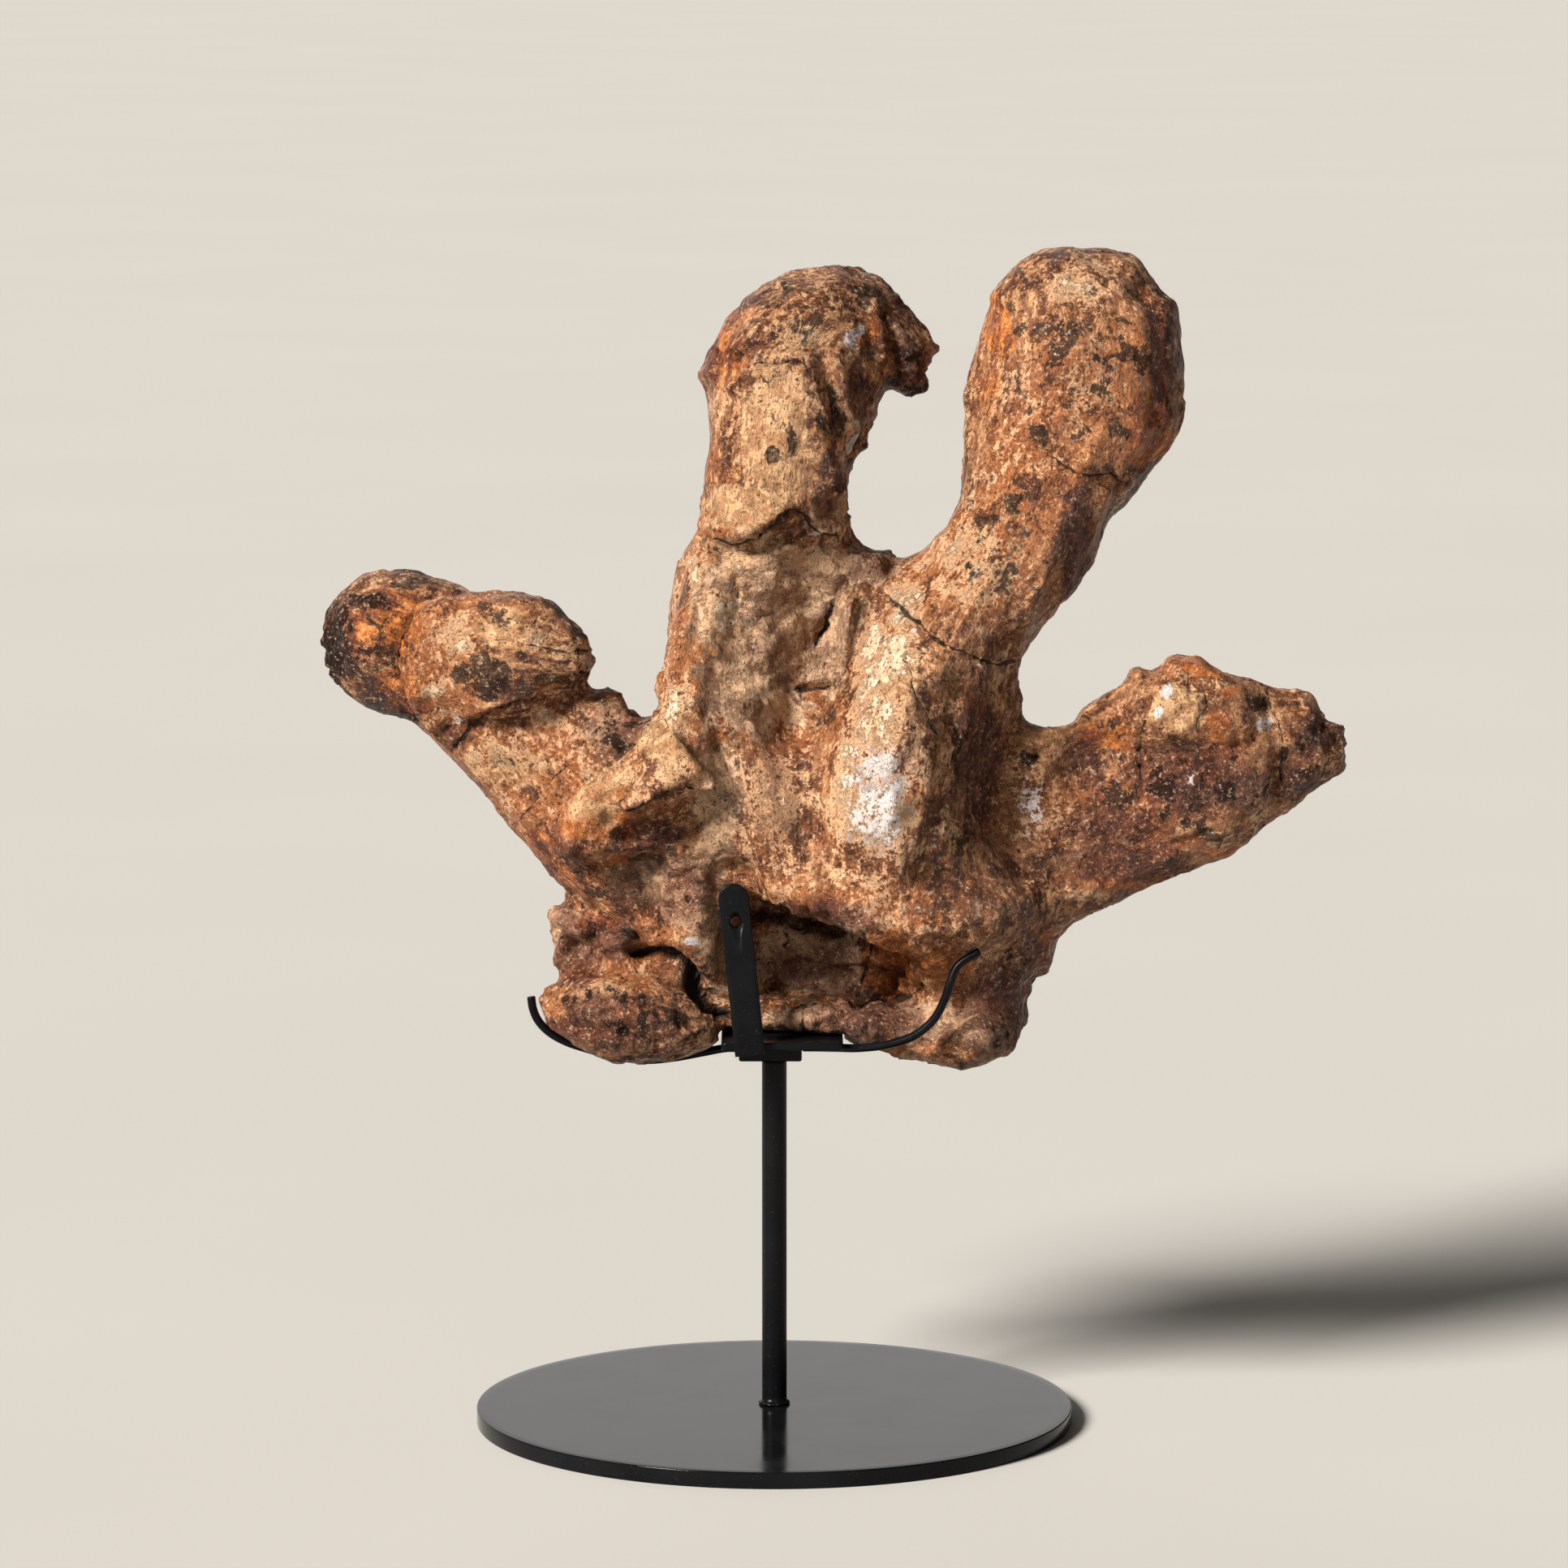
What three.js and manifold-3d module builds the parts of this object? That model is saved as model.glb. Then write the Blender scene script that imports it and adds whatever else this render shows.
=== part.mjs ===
// Fossil neck vertebra of a duck-billed dinosaur on a black steel stand.
// Millimetres, +Z up, the bone's front towards -Y. The origin is the middle of the
// base disc's underside, where the stand meets the table.
//
// The bone grew as one piece, so it is one mesh. Its horns, processes, ridges and
// lumps are limbs: each limb is a closed loft through a few ribs, and the limbs are
// joined, then the hollows are cut out of them in the same way.
import * as THREE from "three";
import { mergeVertices } from "three/addons/utils/BufferGeometryUtils.js";
import Module from "manifold-3d";

const wasm = await Module();
wasm.setup();

// Stand
const GAP = 0.3; // clearance between pieces that touch
const BASE_DIAMETER = 228.6;
const BASE_THICKNESS = 6.35;
const BASE_CHAMFER = 0.7;
const POST_DIAMETER = 9.5;
const WELD_HEIGHT = 1.4;
const WELD_WIDTH = 1.1;
const WELD_WAIST = { out: 0.45, up: 0.5 }; // shares of the weld's width and height where it curves in
const HUB_TOP = 150;
const HUB_THICKNESS = 8;
const HUB_LEFT = -13.5;
const HUB_RIGHT = 10.5;
const HUB_DEPTH = 24;
const PLATE_THICKNESS = 3;
const PLATE_LEFT = -20;
const PLATE_RIGHT = 26;
const PLATE_FRONT = -35;
const PLATE_BACK = 45;
const STRAP_WIDTH = 11.4;
const STRAP_THICKNESS = 3;
const STRAP_BOTTOM = [-9, 149];
const STRAP_TOP = [-15.8, 214.4];
const STRAP_HOLE_DIAMETER = 4.4;
const STRAP_HOLE_FROM_TOP = 14.6;
const ROD_DIAMETER = 3.2;
const EDGE = 0.6; // small bevel on sawn edges
const STRAP_ROOM_SPARE = 8; // width kept free beside the leaning strap
const STRAP_ROOM_HEIGHT = 80;
const STRAP_ROOM_MIDDLE = 180;

// How finely round things are divided
const DISC_SIDES = 64;
const POST_SIDES = 28;
const STRAP_HEAD_STEPS = 14;
const ROD_STEPS = 28;
const ROD_QUARTER_STEPS = 4;

// Routes of the two round arms, from the hub outwards
const LEFT_ARM_ROUTE = [
  [-13.8, -8, 146.6], [-18, -8, 146.6], [-27, -11.5, 145.6], [-38, -15, 144.2],
  [-49, -17, 143.6], [-60, -18, 145.2], [-70, -19, 148.0], [-79, -20, 151.2], [-85.5, -21, 155.2],
  [-89.6, -22, 160.0], [-91.4, -22.5, 164.6], [-92.0, -22.5, 169.0],
];
const RIGHT_ARM_ROUTE = [
  [10.8, -9, 147.0], [15, -9, 147.0], [23, -16.5, 148.2], [32, -26, 149.8], [43, -34, 152.6], [53, -39, 157.0],
  [60, -41, 163.4], [64, -41.5, 171.0], [66.2, -41.5, 177.6], [69.2, -41, 184.0],
  [77.2, -41, 189.4],
];

// Bone. A rib is [x left, z left, x right, z right, y middle, half depth], and a limb's
// fullness is its section's power: 2 is an ellipse, more is boxier.
const FACET = 13.5; // wanted length of a facet's side
const DOME_ANGLES = [30, 60]; // degrees, the rings of a limb's rounded ends
const FEWEST_SIDES = 8;
const MOST_SIDES = 18;
const FEWEST_STEPS = 3;
const MERGE_DISTANCE = 1e-4;

const LIMBS = {
  leftHorn: { fullness: 2.2, ribs: [
    [-36, 309, 12, 303, 4, 22], [-29, 336, 25, 333, 1, 26], [-28, 357, 27, 355, 1, 29],
    [-27, 376, 30, 374, 5, 30], [-26, 393, 36, 388, 10, 31], [-24, 412, 39, 391, 17, 32],
    [-13, 430, 41, 393, 24, 32], [4, 437, 43.5, 394, 29, 31], [24, 438, 46, 395, 33, 27],
    [36, 430, 46, 397, 36, 21],
  ] },
  leftHornNub: { fullness: 3.6, ribs: [
    [34, 428, 36, 395, 36, 19], [44, 421, 45, 394.5, 38, 16], [50, 415, 51, 396, 39, 13],
  ] },
  leftHornBack: { fullness: 2, ribs: [
    [-17, 346, 20, 346, 20, 18], [-17, 370, 32, 369, 34, 20], [-15, 393, 37, 386, 44, 22],
    [-4, 411, 38, 396, 52, 18],
  ] },
  rightHorn: { fullness: 2.2, ribs: [
    [22, 267, 84, 243, -6, 34], [33, 292, 89, 273, -7, 34], [47, 316, 91, 295, -6, 32],
    [56, 333, 103, 311, -3, 30], [68, 352, 120, 332, 2, 30], [72, 372, 137, 359, 9, 33],
    [74, 393, 153, 377, 17, 37], [77, 410, 156, 397, 23, 38], [79, 419, 155, 410, 28, 38],
  ] },
  rightHornBack: { fullness: 2, ribs: [
    [73, 346, 107, 330, 20, 19], [81, 369, 126, 357, 35, 23], [88, 390, 145, 380, 49, 25],
    [92, 405, 145, 402, 56, 20],
  ] },
  leftProcess: { fullness: 2.2, ribs: [
    [-139, 327, -155, 276, 10, 24], [-119, 320, -135, 267, 6, 24], [-101, 294, -121, 256, 2, 24],
    [-84, 278, -105, 240, -1, 25], [-66, 265, -89, 221, -2, 26], [-47, 249, -74, 202, -1, 26],
    [-32, 235, -54, 194, 2, 24],
  ] },
  leftFacetLobe: { fullness: 2.3, ribs: [
    [-114, 320, -113, 275, -13, 17], [-100, 323, -101, 273, -16, 19], [-85, 315, -86, 280, -16, 17],
  ] },
  leftWeb: { fullness: 2, ribs: [
    [-78, 287, -94, 248, 4, 10], [-64, 284, -74, 233, 4, 11], [-52, 277, -57, 224, 2, 15],
    [-35, 272, -38, 218, 0, 20],
  ] },
  leftLamina: { fullness: 2, ribs: [
    [-27, 342, -10, 337, -10, 12], [-34, 325, -12, 320, -16, 15], [-41, 309, -16, 303, -22, 17],
    [-44, 293, -20, 286, -28, 18], [-46, 277, -22, 268, -33, 19], [-52, 262, -27, 248, -38, 17],
    [-67, 250, -41, 232, -36, 14], [-77, 240, -62, 224, -30, 12],
  ] },
  archPlate: { fullness: 2.8, ribs: [
    [-37, 323, 42, 320, 4, 22], [-41, 302, 48, 299, 0, 27], [-44, 284, 56, 277, -4, 31],
    [-45, 267, 66, 258, -8, 36], [-43, 248, 76, 240, -9, 40], [-32, 228, 84, 223, -9, 40],
    [-19, 217, 90, 210, -8, 36],
  ] },
  rightHornRoot: { fullness: 2, ribs: [
    [44, 314, 78, 304, -22, 10], [29, 286, 74, 279, -29, 19], [22, 262, 71, 257, -34, 22],
    [19, 240, 69, 237, -35, 22], [22, 222, 66, 218, -33, 18],
  ] },
  archRim: { fullness: 2, ribs: [
    [-15, 231, -19, 214, -31, 12], [0, 230, -2, 211, -35, 13], [20, 226, 15, 203, -39, 14],
    [38, 222, 35, 194, -40, 16], [60, 220, 58, 190, -36, 17], [80, 217, 81, 190, -26, 18],
    [95, 213, 98, 197, -12, 18],
  ] },
  webBetweenHorns: { fullness: 2.4, ribs: [
    [2, 347, 2, 297, 12, 17], [26, 342, 27, 291, 10, 17], [40, 332, 39, 288, 8, 19],
    [54, 332, 54, 285, 6, 20],
  ] },
  rightProcess: { fullness: 2.3, ribs: [
    [82, 273, 87, 188, 0, 21], [107, 272, 108, 192, 0, 18], [122, 279, 124, 201, 1, 16],
    [137, 289, 139, 207, 2, 16], [153, 292, 154, 212, 3, 16], [168, 289, 170, 220, 4, 16],
    [184, 284, 186, 229, 6, 15], [198, 281, 200, 238, 9, 14], [208, 273, 209, 245, 12, 11],
  ] },
  rightLump: { fullness: 4, ribs: [
    [146, 291, 148, 262, -8, 12], [158, 294, 160, 260, -10, 12], [168, 288, 170, 262, -8, 11],
  ] },
  leftPedicle: { fullness: 2.2, ribs: [
    [-50, 231, -6, 225, -8, 29], [-54, 212, -7, 209, -6, 28], [-53, 196, -7, 193, -3, 28],
    [-48, 183, -6, 179, 4, 26], [-37, 171, -4, 169, 8, 24],
  ] },
  leftLump: { fullness: 2.3, ribs: [
    [-79, 173, -78, 150, -6, 25], [-65, 178, -65, 144, -9, 30], [-49, 179, -48, 142, -10, 32],
    [-33, 172, -32, 145, -8, 29],
  ] },
  leftLumpCrust: { fullness: 2, ribs: [
    [-68, 200, -46, 195, 4, 18], [-75, 180, -38, 174, 4, 27], [-76, 168, -31, 165, 4, 29],
  ] },
  leftKnob: { fullness: 2.4, ribs: [
    [-86, 197, -66, 195, 3, 10], [-87, 189, -62, 187, 4, 12], [-84, 178, -62, 177, 4, 14],
  ] },
  canalFloor: { fullness: 2.2, ribs: [
    [-23, 168, -20, 151, 12, 27], [2, 166, 2, 152, 8, 27], [27, 164, 27, 151, 4, 29],
    [48, 162, 48, 144, 6, 31], [73, 164, 75, 142, 10, 32],
  ] },
  rightPedicle: { fullness: 2.2, ribs: [
    [52, 212, 108, 209, 2, 27], [52, 193, 108, 192, 4, 28], [51, 178, 102, 178, 6, 29],
    [49, 164, 96, 165, 8, 28],
  ] },
  rightFoot: { fullness: 2.3, ribs: [
    [56, 161, 57, 143, -2, 24], [70, 166, 71, 140, -3, 28], [82, 164, 83, 143, 0, 25],
  ] },
  centrumBack: { fullness: 2.6, ribs: [
    [-70, 176, -66, 148, 28, 22], [-33, 198, -33, 149, 34, 27], [14, 206, 14, 152, 36, 29],
    [55, 200, 55, 148, 34, 27], [85, 180, 83, 148, 28, 22],
  ] },
};

const HOLLOWS = {
  underNub: { fullness: 6, ribs: [
    [39.5, 356, 66.5, 356, 36, 60], [39.5, 379, 66.5, 379, 36, 60],
  ] },
  betweenHorns: { fullness: 2, ribs: [
    [-6, 326, 38, 322, -60, 44], [-4, 306, 38, 302, -60, 48], [-6, 286, 28, 283, -60, 46],
    [-8, 266, 20, 264, -62, 36],
  ] },
  canal: { fullness: 2.4, ribs: [
    [-6, 203, -7, 172, -22, 33], [10, 201, 8, 170, -22, 36], [29, 195, 30, 169, -22, 35],
    [48, 187, 48, 170, -24, 28],
  ] },
  canalRoof: { fullness: 2, ribs: [
    [-6, 206, -7, 188, -20, 40], [10, 202, 10, 184, -20, 43], [29, 195, 29, 182, -24, 40],
  ] },
  rightProcessHollow: { fullness: 2, ribs: [
    [98, 272, 101, 222, -50, 37], [116, 280, 118, 224, -50, 39], [131, 278, 133, 228, -48, 34],
  ] },
  rightValley: { fullness: 2, ribs: [
    [82, 306, 106, 300, -56, 32], [79, 282, 110, 279, -57, 37], [79, 256, 112, 254, -57, 37],
    [81, 234, 110, 234, -56, 32],
  ] },
  rearCanal: { fullness: 2.2, ribs: [
    [2, 221, 2, 176, 84, 34], [21, 224, 21, 173, 84, 36], [40, 221, 40, 176, 84, 34],
  ] },
  rearDish: { fullness: 2.2, ribs: [
    [-22, 176, -22, 156, 84, 28], [15, 180, 15, 156, 86, 34], [50, 176, 50, 156, 84, 28],
  ] },
};

const boneMaterial = new THREE.MeshStandardMaterial({ color: 0x9b6a3f, roughness: 0.62, metalness: 0 });
const blackPaint = new THREE.MeshStandardMaterial({ color: 0x0b0b0d, roughness: 0.35, metalness: 0.2 });
const glossBlack = new THREE.MeshStandardMaterial({ color: 0x060607, roughness: 0.12, metalness: 0.2 });

// Point on a unit section of the given fullness at an angle
function sectionPoint(angle, fullness) {
  const across = Math.cos(angle);
  const deep = Math.sin(angle);
  return [
    Math.sign(across) * Math.abs(across) ** (2 / fullness),
    Math.sign(deep) * Math.abs(deep) ** (2 / fullness),
  ];
}

// A limb: rings carried along its ribs, with a rounded dome on each end
function limbGeometry({ ribs, fullness }) {
  const edge = (xIndex, zIndex) => new THREE.CatmullRomCurve3(
    ribs.map((rib) => new THREE.Vector3(rib[xIndex], rib[4], rib[zIndex])), false, "catmullrom", 0.5);
  const leftEdge = edge(0, 1);
  const rightEdge = edge(2, 3);
  const depthLine = new THREE.CatmullRomCurve3(
    ribs.map((rib) => new THREE.Vector3(rib[5], 0, 0)), false, "catmullrom", 0.5);

  const station = (t) => {
    const left = leftEdge.getPoint(t);
    const right = rightEdge.getPoint(t);
    const middle = left.clone().add(right).multiplyScalar(0.5);
    const half = left.distanceTo(right) / 2;
    const across = right.clone().sub(left).normalize();
    const along = new THREE.Vector3(-across.z, 0, across.x);
    return { middle, across, along, half, depth: depthLine.getPoint(t).x };
  };
  const first = station(0);
  const last = station(1);
  const widest = Math.max(...ribs.map((rib) => Math.hypot(rib[2] - rib[0], rib[3] - rib[1]) / 2 + rib[5]));
  const sides = Math.min(MOST_SIDES, Math.max(FEWEST_SIDES, 2 * Math.round((Math.PI * widest) / FACET / 2)));
  const length = (leftEdge.getLength() + rightEdge.getLength()) / 2;
  const steps = Math.max(FEWEST_STEPS, Math.round(length / FACET));
  const forward = station(1 / steps).middle.sub(first.middle).dot(first.along) > 0 ? 1 : -1;

  const rings = [];
  const ring = (s, shift, scale) => {
    const centre = s.middle.clone().addScaledVector(s.along, shift);
    const points = [];
    for (let i = 0; i < sides; i += 1) {
      const [u, v] = sectionPoint((2 * Math.PI * (i + 0.5)) / sides, fullness);
      const point = centre.clone().addScaledVector(s.across, u * s.half * scale);
      point.y += v * s.depth * scale;
      points.push(point);
    }
    rings.push(points);
  };
  const dome = (s, sign, angles) => angles.forEach((degrees) => {
    const angle = THREE.MathUtils.degToRad(degrees);
    ring(s, sign * Math.min(s.half, s.depth) * Math.sin(angle), Math.cos(angle));
  });
  dome(first, -forward, DOME_ANGLES.toReversed());
  for (let i = 0; i <= steps; i += 1) ring(station(i / steps), 0, 1);
  dome(last, forward, DOME_ANGLES);

  const tip = (s, sign) => s.middle.clone().addScaledVector(s.along, sign * Math.min(s.half, s.depth));
  const vertices = [tip(first, -forward), ...rings.flat(), tip(last, forward)];
  const triangles = [];
  const at = (row, i) => 1 + row * sides + (i % sides);
  for (let i = 0; i < sides; i += 1) {
    triangles.push([0, at(0, i), at(0, i + 1)]);
    triangles.push([vertices.length - 1, at(rings.length - 1, i + 1), at(rings.length - 1, i)]);
    for (let row = 0; row + 1 < rings.length; row += 1) {
      triangles.push([at(row, i), at(row + 1, i), at(row + 1, i + 1)]);
      triangles.push([at(row, i), at(row + 1, i + 1), at(row, i + 1)]);
    }
  }
  if (forward > 0) triangles.forEach((triangle) => triangle.reverse());
  const geometry = new THREE.BufferGeometry();
  geometry.setAttribute("position", new THREE.Float32BufferAttribute(vertices.flatMap((v) => v.toArray()), 3));
  geometry.setIndex(triangles.flat());
  return geometry;
}

function toManifold(geometry) {
  const bare = geometry.clone();
  bare.deleteAttribute("normal");
  bare.deleteAttribute("uv");
  const merged = mergeVertices(bare, MERGE_DISTANCE);
  return new wasm.Manifold(new wasm.Mesh({
    numProp: 3,
    vertProperties: new Float32Array(merged.attributes.position.array),
    triVerts: new Uint32Array(merged.index.array),
  }));
}

function toGeometry(solid) {
  const { vertProperties, triVerts } = solid.getMesh();
  const geometry = new THREE.BufferGeometry();
  geometry.setAttribute("position", new THREE.Float32BufferAttribute(vertProperties, 3));
  geometry.setIndex([...triVerts]);
  geometry.computeVertexNormals();
  return geometry;
}

// Base disc: a profile with a small chamfer at both edges, turned about the post's axis
function baseDiscGeometry() {
  const radius = BASE_DIAMETER / 2;
  const profile = [
    [0, 0], [radius - BASE_CHAMFER, 0], [radius, BASE_CHAMFER], [radius, BASE_THICKNESS - BASE_CHAMFER],
    [radius - BASE_CHAMFER, BASE_THICKNESS], [0, BASE_THICKNESS],
  ];
  return lathe(profile, DISC_SIDES);
}

// Post: a round bar with a weld fillet at its foot
function postGeometry() {
  const radius = POST_DIAMETER / 2;
  const foot = BASE_THICKNESS + GAP;
  const head = HUB_TOP - HUB_THICKNESS - GAP;
  const profile = [
    [0, foot], [radius + WELD_WIDTH, foot],
    [radius + WELD_WIDTH * WELD_WAIST.out, foot + WELD_HEIGHT * WELD_WAIST.up],
    [radius, foot + WELD_HEIGHT], [radius, head], [0, head],
  ];
  return lathe(profile, POST_SIDES);
}

function lathe(profile, segments) {
  const points = profile.map(([radius, height]) => new THREE.Vector2(radius, height));
  return new THREE.LatheGeometry(points, segments).rotateX(Math.PI / 2);
}

// A flat piece with bevelled edges: an outline in x and y, from one height up by a thickness
function bevelledBlock(left, right, front, back, bottom, thickness) {
  const outline = new THREE.Shape([
    new THREE.Vector2(left + EDGE, front + EDGE), new THREE.Vector2(right - EDGE, front + EDGE),
    new THREE.Vector2(right - EDGE, back - EDGE), new THREE.Vector2(left + EDGE, back - EDGE),
  ]);
  return new THREE.ExtrudeGeometry(outline, {
    depth: thickness - 2 * EDGE, bevelEnabled: true, bevelSize: EDGE, bevelThickness: EDGE, bevelSegments: 1,
  }).translate(0, 0, bottom + EDGE);
}

function hubGeometry() {
  return bevelledBlock(HUB_LEFT, HUB_RIGHT, -HUB_DEPTH / 2, HUB_DEPTH / 2,
    HUB_TOP - HUB_THICKNESS, HUB_THICKNESS);
}

function restPlateGeometry() {
  return bevelledBlock(PLATE_LEFT, PLATE_RIGHT, PLATE_FRONT, PLATE_BACK, HUB_TOP + GAP, PLATE_THICKNESS);
}

// Front strap: a flat bar with a square foot, a round head and one hole, leaning left
function frontStrapGeometry() {
  const half = STRAP_WIDTH / 2;
  const [footX, footZ] = STRAP_BOTTOM;
  const [headX, headZ] = STRAP_TOP;
  const length = Math.hypot(headX - footX, headZ - footZ);
  const lean = Math.atan2(footX - headX, headZ - footZ);
  const outline = new THREE.Shape();
  outline.moveTo(-half, 0);
  outline.lineTo(half, 0);
  outline.lineTo(half, length - half);
  outline.absarc(0, length - half, half, 0, Math.PI, false);
  outline.lineTo(-half, 0);
  const hole = new THREE.Path();
  hole.absarc(0, length - STRAP_HOLE_FROM_TOP, STRAP_HOLE_DIAMETER / 2, 0, 2 * Math.PI, true);
  outline.holes.push(hole);
  return new THREE.ExtrudeGeometry(outline, {
    depth: STRAP_THICKNESS, bevelEnabled: false, curveSegments: STRAP_HEAD_STEPS,
  })
    .rotateX(Math.PI / 2)
    .rotateY(-lean)
    .translate(footX, PLATE_FRONT - GAP, footZ);
}

// Round arm: a rod bent along its route
function armGeometry(route, diameter) {
  const path = new THREE.CatmullRomCurve3(route.map((point) => new THREE.Vector3(...point)));
  const section = new THREE.Shape().absarc(0, 0, diameter / 2, 0, 2 * Math.PI, false);
  return new THREE.ExtrudeGeometry(section, {
    extrudePath: path, steps: ROD_STEPS, curveSegments: ROD_QUARTER_STEPS,
  });
}

// Room that the stand's pieces take in the bone, with the clearance round each
function standRoom() {
  const reach = ROD_DIAMETER + 2 * GAP;
  const plate = bevelledBlock(PLATE_LEFT - GAP, PLATE_RIGHT + GAP, PLATE_FRONT - GAP, PLATE_BACK + GAP,
    HUB_TOP, PLATE_THICKNESS + 2 * GAP);
  const hub = bevelledBlock(HUB_LEFT - GAP, HUB_RIGHT + GAP, -HUB_DEPTH / 2 - GAP, HUB_DEPTH / 2 + GAP,
    HUB_TOP - HUB_THICKNESS - GAP, HUB_THICKNESS + 2 * GAP);
  const strap = new THREE.BoxGeometry(
    STRAP_WIDTH + STRAP_ROOM_SPARE, STRAP_THICKNESS + 2 * GAP, STRAP_ROOM_HEIGHT)
    .translate((STRAP_BOTTOM[0] + STRAP_TOP[0]) / 2, PLATE_FRONT - GAP - STRAP_THICKNESS / 2, STRAP_ROOM_MIDDLE);
  return [plate, hub, strap, armGeometry(LEFT_ARM_ROUTE, reach), armGeometry(RIGHT_ARM_ROUTE, reach)];
}

function vertebraGeometry() {
  let bone = Object.values(LIMBS)
    .map((limb) => toManifold(limbGeometry(limb)))
    .reduce((joined, limb) => joined.add(limb));
  for (const hollow of Object.values(HOLLOWS)) bone = bone.subtract(toManifold(limbGeometry(hollow)));
  for (const room of standRoom()) bone = bone.subtract(toManifold(room));
  return toGeometry(bone);
}

const specimen = new THREE.Group();

function addPiece(name, geometry, material) {
  const mesh = new THREE.Mesh(geometry, material);
  mesh.name = name;
  specimen.add(mesh);
}

addPiece("vertebra", vertebraGeometry(), boneMaterial);
addPiece("base_disc", baseDiscGeometry(), glossBlack);
addPiece("post", postGeometry(), blackPaint);
addPiece("cradle_hub", hubGeometry(), blackPaint);
addPiece("rest_plate", restPlateGeometry(), blackPaint);
addPiece("front_strap", frontStrapGeometry(), blackPaint);
addPiece("left_arm", armGeometry(LEFT_ARM_ROUTE, ROD_DIAMETER), blackPaint);
addPiece("right_arm", armGeometry(RIGHT_ARM_ROUTE, ROD_DIAMETER), blackPaint);

export default specimen;
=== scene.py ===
import math

import bpy
import numpy as np
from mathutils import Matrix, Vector


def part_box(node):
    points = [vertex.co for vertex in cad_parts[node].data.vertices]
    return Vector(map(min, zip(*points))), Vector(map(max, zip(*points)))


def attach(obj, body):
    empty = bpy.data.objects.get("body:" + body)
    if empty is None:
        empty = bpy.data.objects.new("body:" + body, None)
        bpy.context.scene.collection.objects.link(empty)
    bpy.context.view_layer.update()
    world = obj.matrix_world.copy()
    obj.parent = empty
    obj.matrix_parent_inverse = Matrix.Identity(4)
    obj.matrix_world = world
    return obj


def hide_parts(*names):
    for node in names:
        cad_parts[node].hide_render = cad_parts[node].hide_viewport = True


# Fossil neck vertebra of a duck-billed dinosaur on a black steel stand.
# Metres, +Z up, the bone's front towards -Y, the middle of the base disc's underside at the origin.
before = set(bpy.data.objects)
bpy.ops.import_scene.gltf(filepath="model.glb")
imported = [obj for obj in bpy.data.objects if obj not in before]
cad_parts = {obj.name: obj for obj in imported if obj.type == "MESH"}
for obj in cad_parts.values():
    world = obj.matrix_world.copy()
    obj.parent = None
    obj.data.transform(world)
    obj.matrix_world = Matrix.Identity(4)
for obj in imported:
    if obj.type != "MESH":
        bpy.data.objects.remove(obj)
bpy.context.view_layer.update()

MM = 0.001
PHOTO_SIDE = 1932  # pixels
PIXEL = 0.308 * MM  # what a pixel of the photograph spans at the bone

# Camera
CAMERA_PLACE = (0.0037, -2.8, 0.645)
CAMERA_PITCH = math.radians(8.09)
LENS = 170.9  # mm
SENSOR = 36.0  # mm

# Suns: direction of the light, width in the sky in degrees, strength and colour
SUNS = {
    "key": ((.62, .58, -.54), 18, 8.7, (1, .965, .915)),
    "fill": ((-.2, .9, -.3), 40, .18, (1, .97, .94)),
    "back": ((.3, -.85, -.42), 60, .7, (1, .97, .94)),
}
SKY_COLOUR = (1, .95, .88, 1)
SKY_STRENGTH = .055

# Stand, from the frame's pieces
GAP = 0.3 * MM
DISC_LOW, DISC_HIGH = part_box("base_disc")
POST_LOW, POST_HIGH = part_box("post")
HUB_LOW, HUB_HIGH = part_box("cradle_hub")
PLATE_LOW, PLATE_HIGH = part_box("rest_plate")
DISC_BEVEL = .5 * MM
POST_RADIUS = 4.75 * MM
BLOCK_BEVEL = .6 * MM
STRAP_WIDTH = 11.4 * MM
STRAP_THICKNESS = 3 * MM
STRAP_BEVEL = .45 * MM
STRAP_FOOT = (-0.009, 0.149)
STRAP_HEAD = (-0.0158, 0.2144)
STRAP_HOLE_RADIUS = 2.2 * MM
STRAP_HOLE_FROM_TOP = 14.6 * MM
STRAP_BACK = PLATE_LOW.y - GAP
ROD_RADIUS = 1.6 * MM
ROD_BEVEL = .3 * MM
LEFT_ARM_ROUTE = (
    (-.0138, -.008, .1466), (-.018, -.008, .1466), (-.027, -.0115, .1456), (-.038, -.015, .1442),
    (-.049, -.017, .1436), (-.060, -.018, .1452), (-.070, -.019, .148), (-.079, -.020, .1512),
    (-.0855, -.021, .1552), (-.0896, -.022, .160), (-.0914, -.0225, .1646), (-.092, -.0225, .169),
)
RIGHT_ARM_ROUTE = (
    (.0108, -.009, .147), (.015, -.009, .147), (.023, -.0165, .1482), (.032, -.026, .1498),
    (.043, -.034, .1526), (.053, -.039, .157), (.060, -.041, .1634), (.064, -.0415, .171),
    (.0662, -.0415, .1776), (.0692, -.041, .184), (.0772, -.041, .1894),
)

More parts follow.
